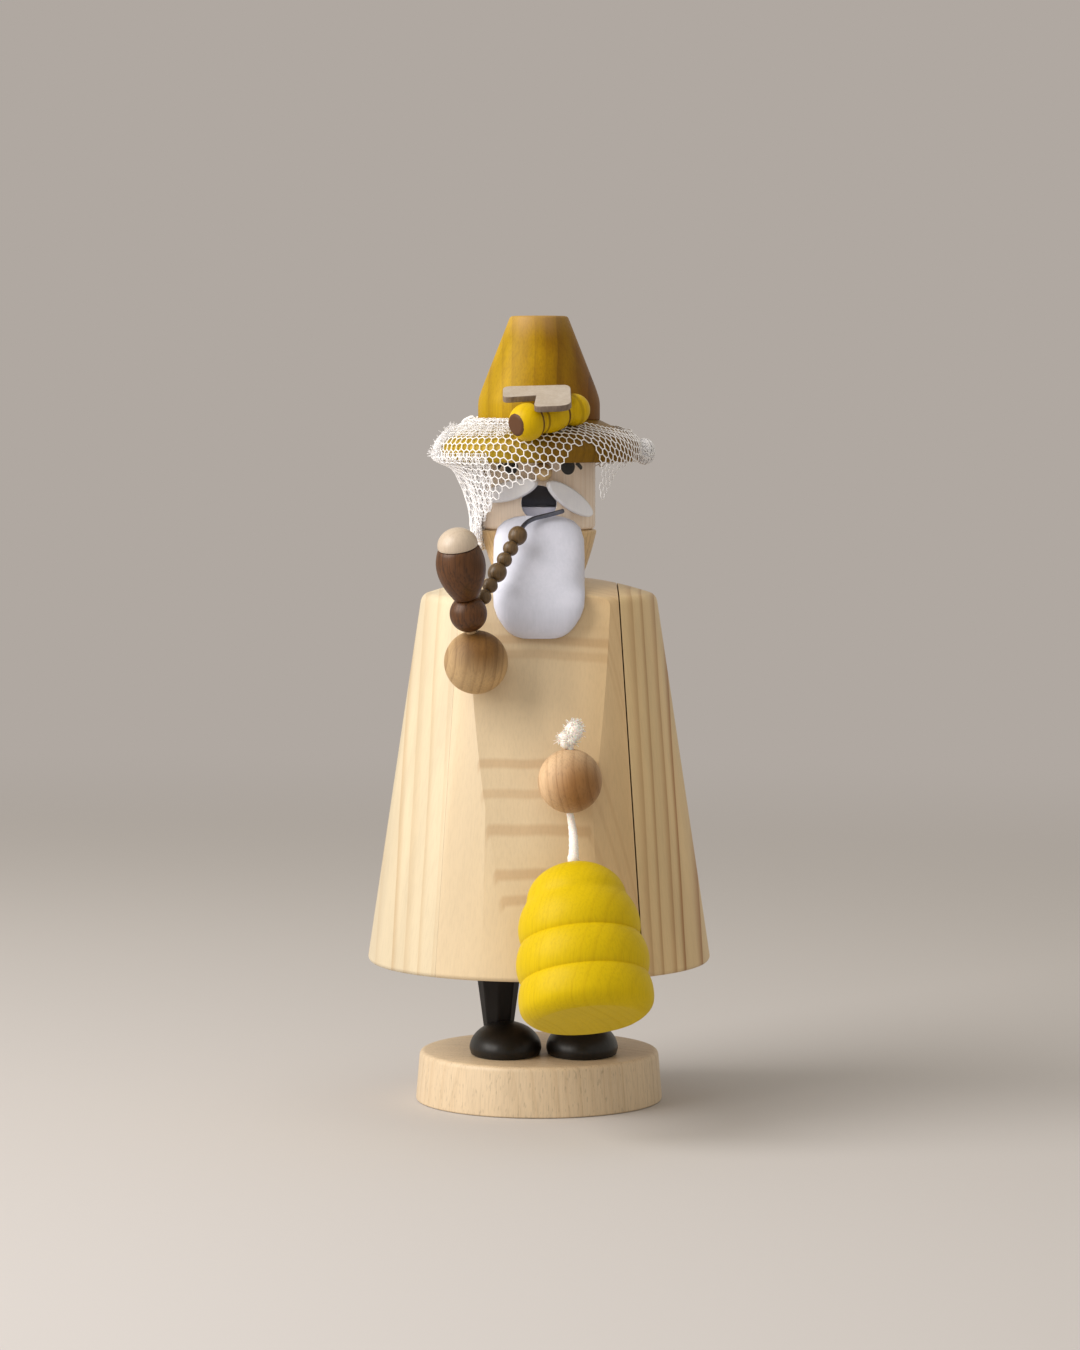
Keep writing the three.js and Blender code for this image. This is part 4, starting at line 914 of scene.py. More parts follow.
# One pine in two copies: the left paler as painted light, the right darker and more saturated as painted shade; their
# rings are the grain.
SLEEVE_PINE = {
    "left": Wood("left_sleeve_pine_painted_light", "e2d2b2", "b48a50", 0.45, ring=3.3, pith=(-900, 0, 0), turn=(0, -3.6, 0),
                 depth=0.4, fibre=0.06, patch=0.3, gloss=0.2),
    "right": Wood("right_sleeve_pine_painted_shade", "e4c896", "a26a2c", ring=3.2, pith=(900, 0, 0), turn=(0, 3.4, 0), depth=0.8,
                  wavy=0.4, fibre=0.06, patch=0.3, gloss=0.1),
}
COLLAR_BEECH = MouthWood("turned_beech", "e4c592", "b48450", pith=(20, 30, 0), depth=0.45, fleck=0.2)
HEARTH_BEECH = Wood("hearth_wood", "c9a36d", "9c7142", ring=1.8, depth=0.4, wavy=1.2, fleck=0.25)
DOWEL_BEECH = Wood("dowel_beech", "cdab7c", "a27a4c", ring=1.4, pith=(8, 6, 0), depth=0.4, wavy=1.2, fleck=0.2)
HEAD_WOOD = MouthWood("face_wood", "f6e5d3", "d6b48c", ring=2.4, pith=(55, 60, 0), fibre=0.1, patch=0.1)
NOSE_WOOD = Wood("nose_wood", "d2b482", "aa8450", 0.4, ring=1.2, pith=(3, 20, 0), wavy=1.2, fibre=0.08, patch=0.1,
                 gloss=0.25)
FACE_WHITE = Paint("moustache_white", "eef0f7", "e6e8f1", relief=0.006, grain=0.3)
BEARD_WHITE = Paint("beard_white", "dcdff0", "d4d8e9", 0.6, relief=0.02)
EYE_PAINT = Paint("eye_black", "0c0a0a", "161313", 0.3, gloss=0.4, relief=0.0)
# Both stains carry painted shade on their right side; the crown's also carries a painted highlight at its top.
BRIM_STAIN = StainedWood("brim_stain", "c2a428", "7c6018", 0.45, ring=1.7, pith=(10, 90, 0), wavy=0.6, fibre=0.18,
                         patch=0.3, painted_shade_brown="b39c7e", painted_shade_across=(-16.0, 4.0))
CROWN_STAIN = StainedWood("crown_stain", "c29c00", "86600a", ring=3.4, pith=(-70, 12, 0), depth=0.5, wavy=1.2,
                          fibre=0.16, patch=0.5, gloss=0.03, painted_shade_brown="ac8a48", painted_shade_across=(-14.0, 15.0),
                          painted_highlight_up=(184.0, 196.0))
HIVE_STAIN = Wood("hive_stain", "d6b804", "b28c00", ring=1.9, pith=(60, 34, 0), depth=0.2, fibre=0.1, patch=0.12,
                  gloss=0.02, specular=0.12, relief=0.015)
HIVE_HAND_WOOD = BallWood("ball_beech", "dab890", "946e46", ring=2.3, pith=(90, 40, 0), turn=(6, 7, 0), wavy=0.9,
                          patch=0.5, shade="c6a87c", spot=(9.6, -45.0, 80.0))
PIPE_HAND_WOOD = BallWood("dark_ball_beech", "cbaa7c", "7c5a34", ring=2.0, pith=(80, 60, 0), turn=(5, -6, 0), wavy=1.1,
                          patch=0.6, shade="a08658", spot=(-13.2, -38.5, 112.6))
PIPE_STAIN = Wood("dark_pipe_stain", "5e3a1c", "281810", 0.42, ring=1.3, pith=(40, 18, 0), depth=0.5, wavy=0.6,
                  fibre=0.45, fleck=0.3, patch=0.5, gloss=0.08, specular=0.3)
BEAD_STAIN = Wood("bead_stain", "70583a", "32271a", 0.4, ring=1.1, depth=0.5, fibre=0.3, fleck=0.3, patch=0.4,
                  gloss=0.15, specular=0.35)
CAP_WOOD = Wood("pale_cap_wood", "cbbaa6", "b49c84", 0.4, pith=(30, 14, 0), fibre=0.1, patch=0.15, gloss=0.2)
WING_TOP = Paint("wing_face", "c0b6aa", "b0a496", relief=0.02)
# Painted shade: the wing plate's edge faces are painted darker, as the edge lies in shade.
WING_EDGE_SHADE = Paint("wing_edge_painted_shade", "6a5a4e", "8b7a6b", 0.6)
WIRE_GREY = Metal("mouthpiece_wire", "7b7f8e", "555864", 0.4)
PLATE_BRASS = Metal("pressed_brass", "b99b5a", "8e723d", 0.38)
PIN_STEEL = Metal("bright_steel", "a4a6aa", "84868a", 0.3)
NET_THREAD = Thread("net_thread", "ffffff", "f6f6fc", 0.6, sheen=0.4)
CORD_COTTON = Thread("twisted_cotton", "fbf6f0", "efe8e0", 0.75, scatter=0.2)


def show(blank: Blank, name: str, finish: Finish, slot: str, *nodes: str, body: Body | None = Body.FIGURE,
         edge: float = 0.0, crease: float = 35.0) -> bpy.types.Object:
    """Puts a mesh in the scene as a finished piece.

    Args:
        blank: the mesh.
        name: the piece's name.
        finish: its finish.
        slot: names a slot for its finish; not used.
        nodes: the CAD nodes that it stands for.
        body: what it rides on, or None where it spans two bodies and rides on neither.
        edge: how wide its sharp edges are softened.
        crease: the angle in degrees past which an edge stays sharp.

    Returns:
        The piece.
    """
    mesh = blank.mesh(name)
    mesh.materials.append(finish.material())
    mesh.shade_smooth()
    mesh.set_sharp_from_angle(angle=math.radians(crease))
    piece = linked(name, mesh)
    if edge:
        bevel = piece.modifiers.new("softened", "BEVEL")
        bevel.width, bevel.segments = edge * MM, 3
        bevel.limit_method, bevel.angle_limit = "ANGLE", math.radians(crease - 7)
    if body:
        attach(piece, body.value)
    if nodes:
        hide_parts(*nodes)
    LOG.info("%s: %d faces", name, len(mesh.polygons))
    return piece


# Sub-assemblies


@dataclass
class Facet:
    """The plane that the coat's front is worked to."""

    reach: float = 42.05
    slope: float = 0.2165

    def y(self, height: float) -> float:
        """How far forward it lies at a height."""
        return -(self.reach - (height - LEVELS.hem) * self.slope)

    @property
    def normal(self) -> Vector:
        """The way it faces."""
        return Vector((0, -1, self.slope)).normalized()


FACET = Facet()


@dataclass
class Stand:
    """Base disc, boots, legs and the hearth that carries the figure."""

    base_radius: float = 30.0
    base_top_radius: float = 29.0
    shoe_half_width: float = 8.7
    shoe_half_length: float = 11.0
    shoe_height: float = 8.0
    shoe_sole: float = 1.6
    shoe_y: float = -8.0
    leg_y: float = -4.0
    leg_top: float = 5.8
    leg_foot: float = 3.4
    leg_sides: int = 8
    across: dict[str, Point] = field(default_factory=lambda: {"left": (-8.1, -9.8), "right": (10.4, 9.8)})
    flange: float = 21.7
    spigot: float = 15.2
    draught_radius: float = 2.2
    draught_y: float = 11.4
    plate_radius: float = 8.5

    def build(self) -> None:
        """Makes every piece of the stand."""
        top = LEVELS.base_top
        outline = rounded([(0, 0), (self.base_radius, 0), (self.base_top_radius, top), (0, top)], {1: 0.5, 2: 1.3})
        show(Blank.turned(outline), "base_disc_turned", BASE_WOOD, "base_wood", "base_disc", body=Body.STAND)
        for side, (shoe_x, leg_x) in self.across.items():
            self.foot(side, shoe_x, leg_x)
        self.hearth()

    def foot(self, side: str, shoe_x: float, leg_x: float) -> None:
        """Makes one shoe, a flattened ball on a flat sole, and its tapered leg with flats.

        Args:
            side: left or right.
            shoe_x: the shoe's place across.
            leg_x: the leg's place across.
        """
        wide, sole = self.shoe_half_width, self.shoe_sole
        outline = [(0, 0), (wide - 0.9, 0), (wide - 0.35, 0.35),
                   *arc((0, sole), wide, 0, 90, 18, self.shoe_height - sole)]
        stretch = Matrix.Scale(self.shoe_half_length / wide, 4, (0, 1, 0))
        shoe = Blank.turned(outline, MEDIUM)
        shoe.placed(Matrix.Translation((shoe_x, self.shoe_y, LEVELS.base_top)) @ stretch)
        show(shoe, f"shoe_{side}_turned", BOOT_PAINT, "boot_paint", f"shoe_{side}", body=Body.STAND)
        height = LEVELS.hem - LEVELS.shoe_floor
        leg = Blank.turned([(0, 0), (self.leg_foot, 0), (self.leg_top, height), (0, height)], self.leg_sides)
        turn = Matrix.Rotation(math.radians(90), 4, "Z")
        leg.placed(Matrix.Translation((leg_x, self.leg_y, LEVELS.shoe_floor)) @ turn)
        show(leg, f"leg_{side}_planed", LEG_PAINT, "boot_paint", f"leg_{side}", body=Body.STAND, edge=0.35)

    def hearth(self) -> None:
        """Makes the hearth disc, its ember plate and the nail."""
        floor, ledge, top = LEVELS.hem, LEVELS.flange_top, LEVELS.hearth_top
        bore = self.draught_radius
        hole = Blank.turned([(0, floor - 1), (bore, floor - 1), (bore, top + 1), (0, top + 1)], SMALL)
        hole.placed(Matrix.Translation((0, self.draught_y, 0)))
        outline = [(0, floor), (self.flange, floor), (self.flange, ledge), (self.spigot, ledge), (self.spigot, top),
                   (0, top)]
        disc = Blank.turned(rounded(outline, {1: 0.5, 2: 0.4, 4: 0.6}), MEDIUM).carved(hole)
        show(disc, "hearth_disc_turned", HEARTH_BEECH, "hearth_beech", "hearth_disc", body=Body.STAND)
        rim = self.plate_radius
        plate = [(0, top), (rim, top), (rim, top + 1.2), (rim - 0.45, top + 1.2), (rim - 0.9, top + 0.5),
                 (0, top + 0.5)]
        show(Blank.turned(rounded(plate, {1: 0.2, 2: 0.15, 4: 0.3}), MEDIUM), "ember_plate_pressed", PLATE_BRASS,
             "ember_brass", "ember_plate", body=Body.STAND)
        nail = [(0, top - 4), (0.7, top - 4), (0.7, top + 0.5), (1.7, top + 0.5), (1.55, top + 0.85), (0.9, top + 1.12),
                (0, top + 1.2)]
        show(Blank.turned(nail, SMALL), "ember_plate_nail_round", PIN_STEEL, "pin_steel", "ember_plate_nail",
             body=Body.STAND)


@dataclass
class Coat:
    """The hollow cone with its planed front, and the sleeves sawn from it."""

    hem_radius: float = 41.5
    hem_round: float = 1.2
    crown_radius: float = 10.7
    saw_half_width: float = 24.5
    saw_slope: float = 0.0638
    gaps: dict[str, float] = field(default_factory=lambda: {"left": 0.03, "right": 0.3})
    inner: tuple[Point, ...] = (
        (7.9, LEVELS.coat_top), (7.9, LEVELS.socket_floor), (5.0, LEVELS.socket_floor), (5.0, 110.0),
        (15.5, LEVELS.chamber_top), (15.5, LEVELS.flange_top + 0.3), (22.0, LEVELS.flange_top + 0.3),
        (22.0, LEVELS.hem))

    def build(self) -> None:
        """Makes the body and both sleeves."""
        high = LEVELS.shoulder
        outer = [*arc((self.hem_radius - self.hem_round, LEVELS.hem + self.hem_round), self.hem_round, -90, 0, 6),
                 *bezier((28.65, high - 0.6), (28.35, high + 1.5), (26.4, high + 1.9), 8),
                 *bezier((26.4, high + 1.9), (18.5, high + 4.5), (self.crown_radius, LEVELS.coat_top), 8)[1:]]
        body = self.planed([*outer, *self.inner])
        for sign in (-1, 1):
            body.sawn((sign * self.saw_half_width, 0, LEVELS.hem), (sign, 0, self.saw_slope))
        show(body, "coat_body_turned", COAT_PINE, "coat_pine", "coat_body", edge=0.14, crease=27)
        for side, sign in (("left", -1), ("right", 1)):
            sleeve = self.planed([(0, LEVELS.hem), *outer, (0, LEVELS.coat_top)])
            sleeve.sawn((sign * (self.saw_half_width + self.gaps[side]), 0, LEVELS.hem), (-sign, 0, -self.saw_slope))
            show(sleeve, f"sleeve_{side}_sawn", SLEEVE_PINE[side], "coat_pine", f"sleeve_{side}", edge=0.14, crease=27)

    def planed(self, outline: Sequence[Point]) -> Blank:
        """A turned blank with its front planed flat."""
        return Blank.turned(outline, FINE + 48).sawn((0, FACET.y(LEVELS.hem), LEVELS.hem), FACET.normal)


@dataclass
class Hand:
    """A ball hand that touches the planed front, bored through if a cord runs in it."""

    side: str
    x: float
    z: float
    wood: Wood
    bore: float = 0.0
    radius: float = 7.5

    @property
    def centre(self) -> Vector:
        """Its middle."""
        touch = (self.radius + 0.3) / math.cos(math.atan(FACET.slope))
        return Vector((self.x, FACET.y(self.z) - touch, self.z))

    def build(self) -> None:
        """Makes the ball."""
        end = math.degrees(math.acos(self.bore / self.radius))
        ball = Blank.turned(arc((0, 0), self.radius, -end, end, 40), MEDIUM).placed(Matrix.Translation(self.centre))
        show(ball, f"{self.side}_hand_ball", self.wood, "hand_beech", f"{self.side}_hand")


PIPE_HAND = Hand("pipe", -14.75, 108.6, PIPE_HAND_WOOD)
HIVE_HAND = Hand("hive", 7.25, 81.2, HIVE_HAND_WOOD, bore=1.2)


@dataclass
class Head:
    """Collar, head, eyes, nose, moustache and beard."""

    radius: float = 13.6
    collar_rim: float = 14.0
    collar_foot: float = 10.4
    mouth_radius: float = 4.2
    mouth_height: float = 145.3
    hollow: float = 10.4
    tenon: float = 5.6
    flue: float = 5.0
    nose_radius: float = 2.2
    nose: Place = (0.95, -14.6, 152.7)
    eye_radius: float = 1.9
    eye_height: float = 153.9
    eyes: dict[str, float] = field(default_factory=lambda: {"left": -7.0, "right": 7.3})
    lash: tuple[Point, ...] = ((-0.4, 0.1), (1.3, -1.25), (1.8, -1.1), (1.95, -0.5), (0.4, 0.85))
    moustache: dict[str, Place] = field(default_factory=lambda: {"left": (-27, 9.7, 16), "right": (30, 7.7, -33)})
    moustache_half: Point = (7.2, 2.35)
    beard_drop: tuple[Place, ...] = (
        (-3.7, 3.6, 15.0), (-3.35, 6.0, 15.6), (-2.4, 8.3, 16.2), (-0.8, 9.9, 16.9), (2, 10.75, 18.1), (6, 10.9, 20.8),
        (10, 10.9, 24.0), (14, 10.9, 27.0), (17.5, 10.7, 28.9), (20.0, 9.8, 29.3), (22.0, 8.5, 29.0),
        (23.5, 7.2, 28.4), (24.5, 5.6, 27.6), (24.9, 3.9, 26.9))
    under_beard: tuple[Point, ...] = ((113, 29.0), (121.6, 28.3), (124.1, 24.6), (125.5, 19.0), (126.9, 11.2))
    beard_levels: int = 44
    beard_steps: int = 40

    def build(self) -> None:
        """Makes every piece of the head."""
        low, floor, top, socket = LEVELS.coat_top, LEVELS.head_floor, LEVELS.head_top, LEVELS.socket_floor
        tenon, peg = floor + self.tenon, self.hollow - 0.3
        collar = [(self.flue, socket), (7.6, socket), (7.6, low), (self.collar_foot, low),
                  ((self.collar_foot + self.collar_rim) / 2 + 0.35, (low + floor) / 2),
                  (self.collar_rim, floor), (peg, floor), (peg, tenon), (self.flue, tenon)]
        show(Blank.turned(rounded(collar, {3: 0.5, 4: 3.0, 5: 0.7})), "collar_turned", COLLAR_BEECH, "collar_beech",
             "collar")
        skull = rounded([(self.hollow, floor), (self.radius, floor), (self.radius, top), (0, top)], {1: 1.5})
        mouth = Blank.turned([(0, 0), (self.mouth_radius, 0), (self.mouth_radius, 30), (0, 30)], SMALL)
        mouth.placed(aimed((0, 0, self.mouth_height), (0, -1, 0)))
        head = Blank.turned([*skull, (0, top - 4.5), (self.hollow, top - 4.5)]).carved(mouth)
        show(head, "head_turned", HEAD_WOOD, "head_wood", "head", edge=0.25, crease=32)
        nose = Blank.turned(arc((0, 0), self.nose_radius, -90, 90, 24), SMALL).placed(Matrix.Translation(self.nose))
        show(nose, "nose_ball", NOSE_WOOD, "head_wood", "nose")
        for side, sign in (("left", -1), ("right", 1)):
            x, z = self.eyes[side], self.eye_height
            self.paint(f"eye_{side}", arc((0, 0), self.eye_radius, 0, 360 - 12, 29), x, z)
            self.paint(f"lash_{side}", [(sign * a, b) for a, b in self.lash], x + sign * 2.5, z + 0.5)
            self.build_moustache(side)
        self.build_beard()

    def paint(self, name: str, outline: Sequence[Point], x: float, z: float) -> None:
        """Paints a thin flat shape on the round of the head.

        Args:
            name: the piece's name.
            outline: its corners about its middle, across and up.
            x: its middle across.
            z: its middle's height.
        """
        blank = Blank.plate(outline, 0.12)
        for vert in blank.bm.verts:
            around, reach = (x + vert.co.x) / self.radius, self.radius - 0.04 + vert.co.z
            vert.co = (reach * math.sin(around), -reach * math.cos(around), z + vert.co.y)
        show(blank.outward(), name, EYE_PAINT, "boot_paint")

    def build_moustache(self, side: str) -> None:
        """Makes one flat oval half that stands on the cheek.

        Args:
            side: left or right.
        """
        around, height, tilt = self.moustache[side]
        wide, tall = self.moustache_half
        matrix = (Matrix.Translation((0, 0, LEVELS.head_floor + height)) @ Matrix.Rotation(math.radians(around), 4, "Z")
                  @ Matrix.Translation((0, -(self.radius + 0.3), 0)) @ Matrix.Rotation(math.radians(90), 4, "X")
                  @ Matrix.Rotation(math.radians(tilt), 4, "Z"))
        oval = Blank.plate(arc((0, 0), wide, 0, 354.375, 63, tall), 1.6).placed(matrix)
        show(oval, f"moustache_{side}_plate", FACE_WHITE, "white_paint", f"moustache_{side}", edge=0.4)

    def behind(self, x: float, z: float) -> float:
        """How far forward the head, the collar or the coat lies behind the beard.

        Args:
            x: the place across.
            z: the height.

        Returns:
            The distance from the middle.
        """
        if z > LEVELS.head_floor - 0.3:
            radius = self.radius
        elif z > LEVELS.coat_top:
            share = (z - LEVELS.coat_top) / (LEVELS.head_floor - LEVELS.coat_top)
            radius = self.collar_foot + (self.collar_rim - self.collar_foot) * share + 0.5
        else:
            radius = reading(self.under_beard, z)
        reach = math.sqrt(max(0.0, radius * radius - x * x))
        return max(12.0, (reach if z > LEVELS.coat_top else min(reach, -FACET.y(z))) + 0.3)

    def build_beard(self) -> None:
        """Makes the beard, a rounded block that hangs over the collar and the coat."""
        widths, fronts = ([(row[0], row[k]) for row in self.beard_drop] for k in (1, 2))
        first, last = widths[0][0], widths[-1][0]
        blank, fore, rings = Blank(), [], []
        for i in range(self.beard_levels + 1):
            drop = first + (last - first) * (0.5 - 0.5 * math.cos(math.pi * i / self.beard_levels))
            front, z = reading(fronts, drop), LEVELS.head_floor - drop
            near, far = [], []
            for angle in (math.pi * j / self.beard_steps for j in range(self.beard_steps + 1)):
                x = math.copysign(abs(math.cos(angle)) ** (2 / 3), math.cos(angle)) * reading(widths, drop)
                rear, curve = self.behind(x, z), max(0.0, math.sin(angle)) ** 0.5
                y = max(12 + (front - 12) * curve, rear + 0.6 + max(1.5, front - rear - 0.6) * curve)
                near.append((x, -y, z))
                far.append((x, -rear, z))
            fore.append(blank.row(near))
            rings.append(fore[-1] + blank.row(far)[::-1])
        blank.bridged(rings)
        for ring in (rings[0], rings[-1]):
            for a, b, c, d in zip(ring, ring[1:self.beard_steps + 1], ring[::-1][1:], ring[::-1]):
                blank.bm.faces.new((a, b, c, d))
        blank.outward()
        inner = [v for row in fore[1:-1] for v in row[1:-1]]
        for _ in range(3):
            bmesh.ops.smooth_vert(blank.bm, verts=inner, factor=0.5, use_axis_x=True, use_axis_y=True, use_axis_z=True)
        show(blank, "beard_carved", BEARD_WHITE, "white_paint", "beard", crease=50)


@dataclass
class Hat:
    """Brim and crown."""

    brim_radius: float = 24.5
    under_radius: float = 23.8
    lip_height: float = 2.6
    slope_radius: float = 21.4
    slope_drop: float = 3.3
    crown_radius: float = 14.7
    crown_top_radius: float = 6.9
    wall: float = 5.2

    def brim_line(self, grow: float) -> list[Point]:
        """The brim's upper side from its lip to the crown.

        Args:
            grow: how far outside the wood the line lies.

        Returns:
            Its points, as radii and heights.
        """
        top, edge = LEVELS.brim_top + grow, self.brim_radius + grow
        return [*bezier((edge, LEVELS.head_top + self.lip_height), (edge, top - 4.6),
                        (self.slope_radius + grow / 2, top - self.slope_drop), 10), (self.crown_radius, top)]

    def build(self) -> None:
        """Makes the brim and the crown."""
        floor, top, wall = LEVELS.head_top, LEVELS.brim_top, LEVELS.brim_top + self.wall
        under = rounded([(self.under_radius - 1.5, floor), (self.under_radius, floor),
                         (self.brim_radius, floor + self.lip_height)], {1: 0.5})
        brim = [(0, floor), *under, *self.brim_line(0)[1:], (0, top)]
        show(Blank.turned(brim), "hat_brim_turned", BRIM_STAIN, "hat_stain", "hat_brim")
        cone = self.crown_radius - (self.crown_radius - self.crown_top_radius) * (2.2 / 19.8)
        outline = [(0, top), (self.crown_radius, top), (self.crown_radius, wall - 0.6), (cone, wall + 2.2),
                   (self.crown_top_radius, LEVELS.hat_top), (0, LEVELS.hat_top)]
        crown = Blank.turned(rounded(outline, {1: 0.3, 2: 1.2, 3: 1.6, 4: 0.7}))
        show(crown, "hat_crown_turned", CROWN_STAIN, "hat_stain", "hat_crown")


@dataclass
class Bee:
    """The wooden bee on the brim."""

    tail: Place = (8.3, -16.8, LEVELS.brim_top + 2.5)
    turn: float = 41.0
    dip: float = 11.0
    length: float = 14.8
    tail_radius: float = 3.85
    head_radius: float = 4.5
    face_radius: float = 2.15
    waist: tuple[Point, ...] = ((3.52, 4.3), (3.75, 5.6), (3.95, 7.2), (3.9, 8.8), (3.66, 10.2))
    bands: tuple[Place, ...] = ((0.5, 0.6, 0.3), (4.4, 0.5, 0.95), (10.9, 0.4, 0.6), (13.4, 0.5, 0.95))
    wing_corner: Place = (7.7, -17.3, 173.5)
    wing_left: Place = (-1.0, 0.0, -0.025)
    wing_near: Place = (0.0, -0.948, -0.318)
    wing_outline: tuple[Point, ...] = ((4.0, 0.0), (16.3, 0.0), (16.3, 8.4), (8.4, 7.3), (9.1, 15.8), (0.2, 15.3),
                                       (0.2, 0.0), (3.9, 0.0))
    wing_thickness: float = 1.5
    peg_seat: float = 8.6
    peg_top: float = 4.9
    peg_radius: float = 0.9

    def build(self) -> None:
        """Makes the body, the wing plate with its edge painted darker as painted shade, and the peg that the plate is
        glued on.
        """
        turn, dip = math.radians(self.turn), math.radians(self.dip)
        heading = Vector((-math.cos(turn) * math.cos(dip), -math.sin(turn) * math.cos(dip), -math.sin(dip)))
        face = math.degrees(math.acos(self.face_radius / self.head_radius))
        head = arc((0, self.length), self.head_radius, -46, face, 26)
        outline = [*arc((0, 0), self.tail_radius, -90, 46, 26)[:-1], *self.waist, *head[1:], (0, head[-1][1])]
        finish = BandedWood("bee_stain", "deb800", "b08405", 0.45, pith=(30, 12, 0), depth=0.2, wavy=1.2, fibre=0.08,
                            gloss=0.04, specular=0.15, place=self.tail, axis=tuple(heading), bands=self.bands,
                            burnt="4e2008", face="5c3e2a", face_from=self.length + 3.6)
        show(Blank.turned(outline, MEDIUM).placed(aimed(self.tail, heading)), "bee_body_turned", finish, "bee_paint",
             "bee_body", edge=0.2, crease=32)
        left = Vector(self.wing_left).normalized()
        normal = left.cross(Vector(self.wing_near)).normalized()
        matrix = Matrix((left, normal.cross(left), normal)).transposed().to_4x4()
        matrix.translation = Vector(self.wing_corner) - normal * self.wing_thickness
        outline = rounded(self.wing_outline, {1: 2.2, 2: 1.9, 4: 2.1, 5: 3.2, 6: 3.4}, 9)
        plate = Blank.plate(outline, self.wing_thickness)
        # The plate's side faces take the darker edge paint: painted shade.
        for side in plate.bm.faces:
            side.material_index = int(abs(side.normal.z) < 0.5)
        piece = show(plate.placed(matrix), "bee_wing_plate", WING_TOP, "wing_ply", "bee_wings", edge=0.18)
        piece.data.materials.append(WING_EDGE_SHADE.material())
        wide, tall = self.peg_radius, self.peg_top
        peg = Blank.turned([(0, 1.0), (wide, 1.0), (wide, tall), (0, tall)], SMALL)
        peg.placed(aimed(Vector(self.tail) + heading * self.peg_seat, normal))
        show(peg, "bee_wing_peg", HEAD_WOOD, "wing_ply", "bee_wing_pin")


@dataclass
class Pipe:
    """Pipe ball, bowl and cap on the hand, with the wire mouthpiece and its beads."""

    lean_left: float = 8.4
    lean_forward: float = 17.0
    ball_radius: float = 4.4
    ball_height: float = 12.2
    bowl_foot: float = 16.0
    bowl_height: float = 12.6
    bowl_widest: float = 5.7
    cap_radius: float = 4.75
    cap_height: float = 4.4
    wire_radius: float = 0.55
    wire_hole: float = 0.62
    bead_start: Place = (-5.04, -22.5, 137.8)
    bead_end: Place = (-12.7, -32.4, 124.2)
    beads: tuple[Point, ...] = ((2.25, 4.3), (1.85, 3.3), (1.85, 3.3), (2.25, 4.3), (1.85, 3.3), (1.85, 3.3))
    mouthpiece: tuple[Place, ...] = ((6, -16.9, 143.6), (3.6, -16.9, 142.9), (1.2, -17.0, 142.3), (-1.2, -17.6, 141.7),
                                     (-2.9, -18.9, 140.8))

    @property
    def direction(self) -> Vector:
        """The pipe's axis."""
        left, forward = math.radians(self.lean_left), math.radians(self.lean_forward)
        return Vector((-math.tan(left), -math.tan(forward), 1)).normalized()

    def build(self) -> None:
        """Makes every piece of the pipe."""
        foot, rim = self.bowl_foot, self.bowl_foot + self.bowl_height
        swell = bezier((3.3, foot + 0.9), (2 * self.bowl_widest - (3.3 + 4.85) / 2, foot + 7.1), (4.85, rim - 0.25), 24)
        seat, cap = rim + 0.05, self.cap_radius
        turned = {
            "ball": (arc((0, self.ball_height), self.ball_radius, -90, 90, 30), PIPE_STAIN, "pipe_stain"),
            "bowl": ([(0, foot), (2.4, foot), (3.0, foot + 0.3), *swell, (4.6, rim), (0, rim)], PIPE_STAIN,
                     "pipe_stain"),
            "cap": ([(0, seat), (cap - 0.4, seat), (cap - 0.08, seat + 0.2),
                     *arc((0, seat + 0.5), cap, 0, 90, 24, self.cap_height - 0.25)], CAP_WOOD, "cap_wood"),
        }
        for name, (outline, finish, slot) in turned.items():
            blank = Blank.turned(outline, MEDIUM).placed(aimed(PIPE_HAND.centre, self.direction))
            show(blank, f"pipe_{name}_turned", finish, slot, f"pipe_{name}")
        self.build_wire(self.build_beads())

    def build_beads(self) -> list[Vector]:
        """Makes the beads.

        Returns:
            The middle of each bead, with a point before the first and after the last.
        """
        start = Vector(self.bead_start)
        way = (Vector(self.bead_end) - start).normalized()
        along, made = -self.beads[0][1] / 2, [start - way * (self.beads[0][1] / 2 + 0.3)]
        for i, (radius, length) in enumerate(self.beads):
            along += length / 2
            made.append(start + way * along)
            along += length / 2 + 0.2
            power = 1.0 if length > 4 else 1.3
            round_side = [(self.wire_hole + (radius - self.wire_hole) * r ** power, z)
                          for r, z in arc((0, 0), 1, -90, 90, 16, length / 2)[1:-1]]
            outline = [(self.wire_hole, -length / 2), *round_side, (self.wire_hole, length / 2)]
            show(Blank.turned(outline, SMALL).placed(aimed(made[-1], way)), f"pipe_bead_{i + 1}_turned", BEAD_STAIN,
                 "pipe_stain", f"pipe_bead_{i + 1}")
        return [*made, made[-1] + way * (self.beads[-1][1] / 2 + 0.3)]

    def build_wire(self, beads: Sequence[Vector]) -> None:
        """Bends the wire from the mouth through the beads into the ball.

        Args:
            beads: the points that it passes through in the beads.
        """
        ball = PIPE_HAND.centre + self.direction * self.ball_height
        inward = (ball - beads[-1]).normalized()
        path = catmull([*map(Vector, self.mouthpiece), *beads, ball - inward * self.ball_radius,
                        ball - inward * (self.ball_radius - 2.2)], 12)

        def radius(share: float, _: float) -> float:
            """The wire, a little rounded at its open end."""
            end = share * (len(path) - 1)
            return self.wire_radius * (0.55 if end < 0.5 else 0.85 if end < 1.5 else 1.0)

        show(Blank.tube(path, radius, 20), "pipe_wire_bent", WIRE_GREY, "wire_steel", "pipe_wire", crease=50)


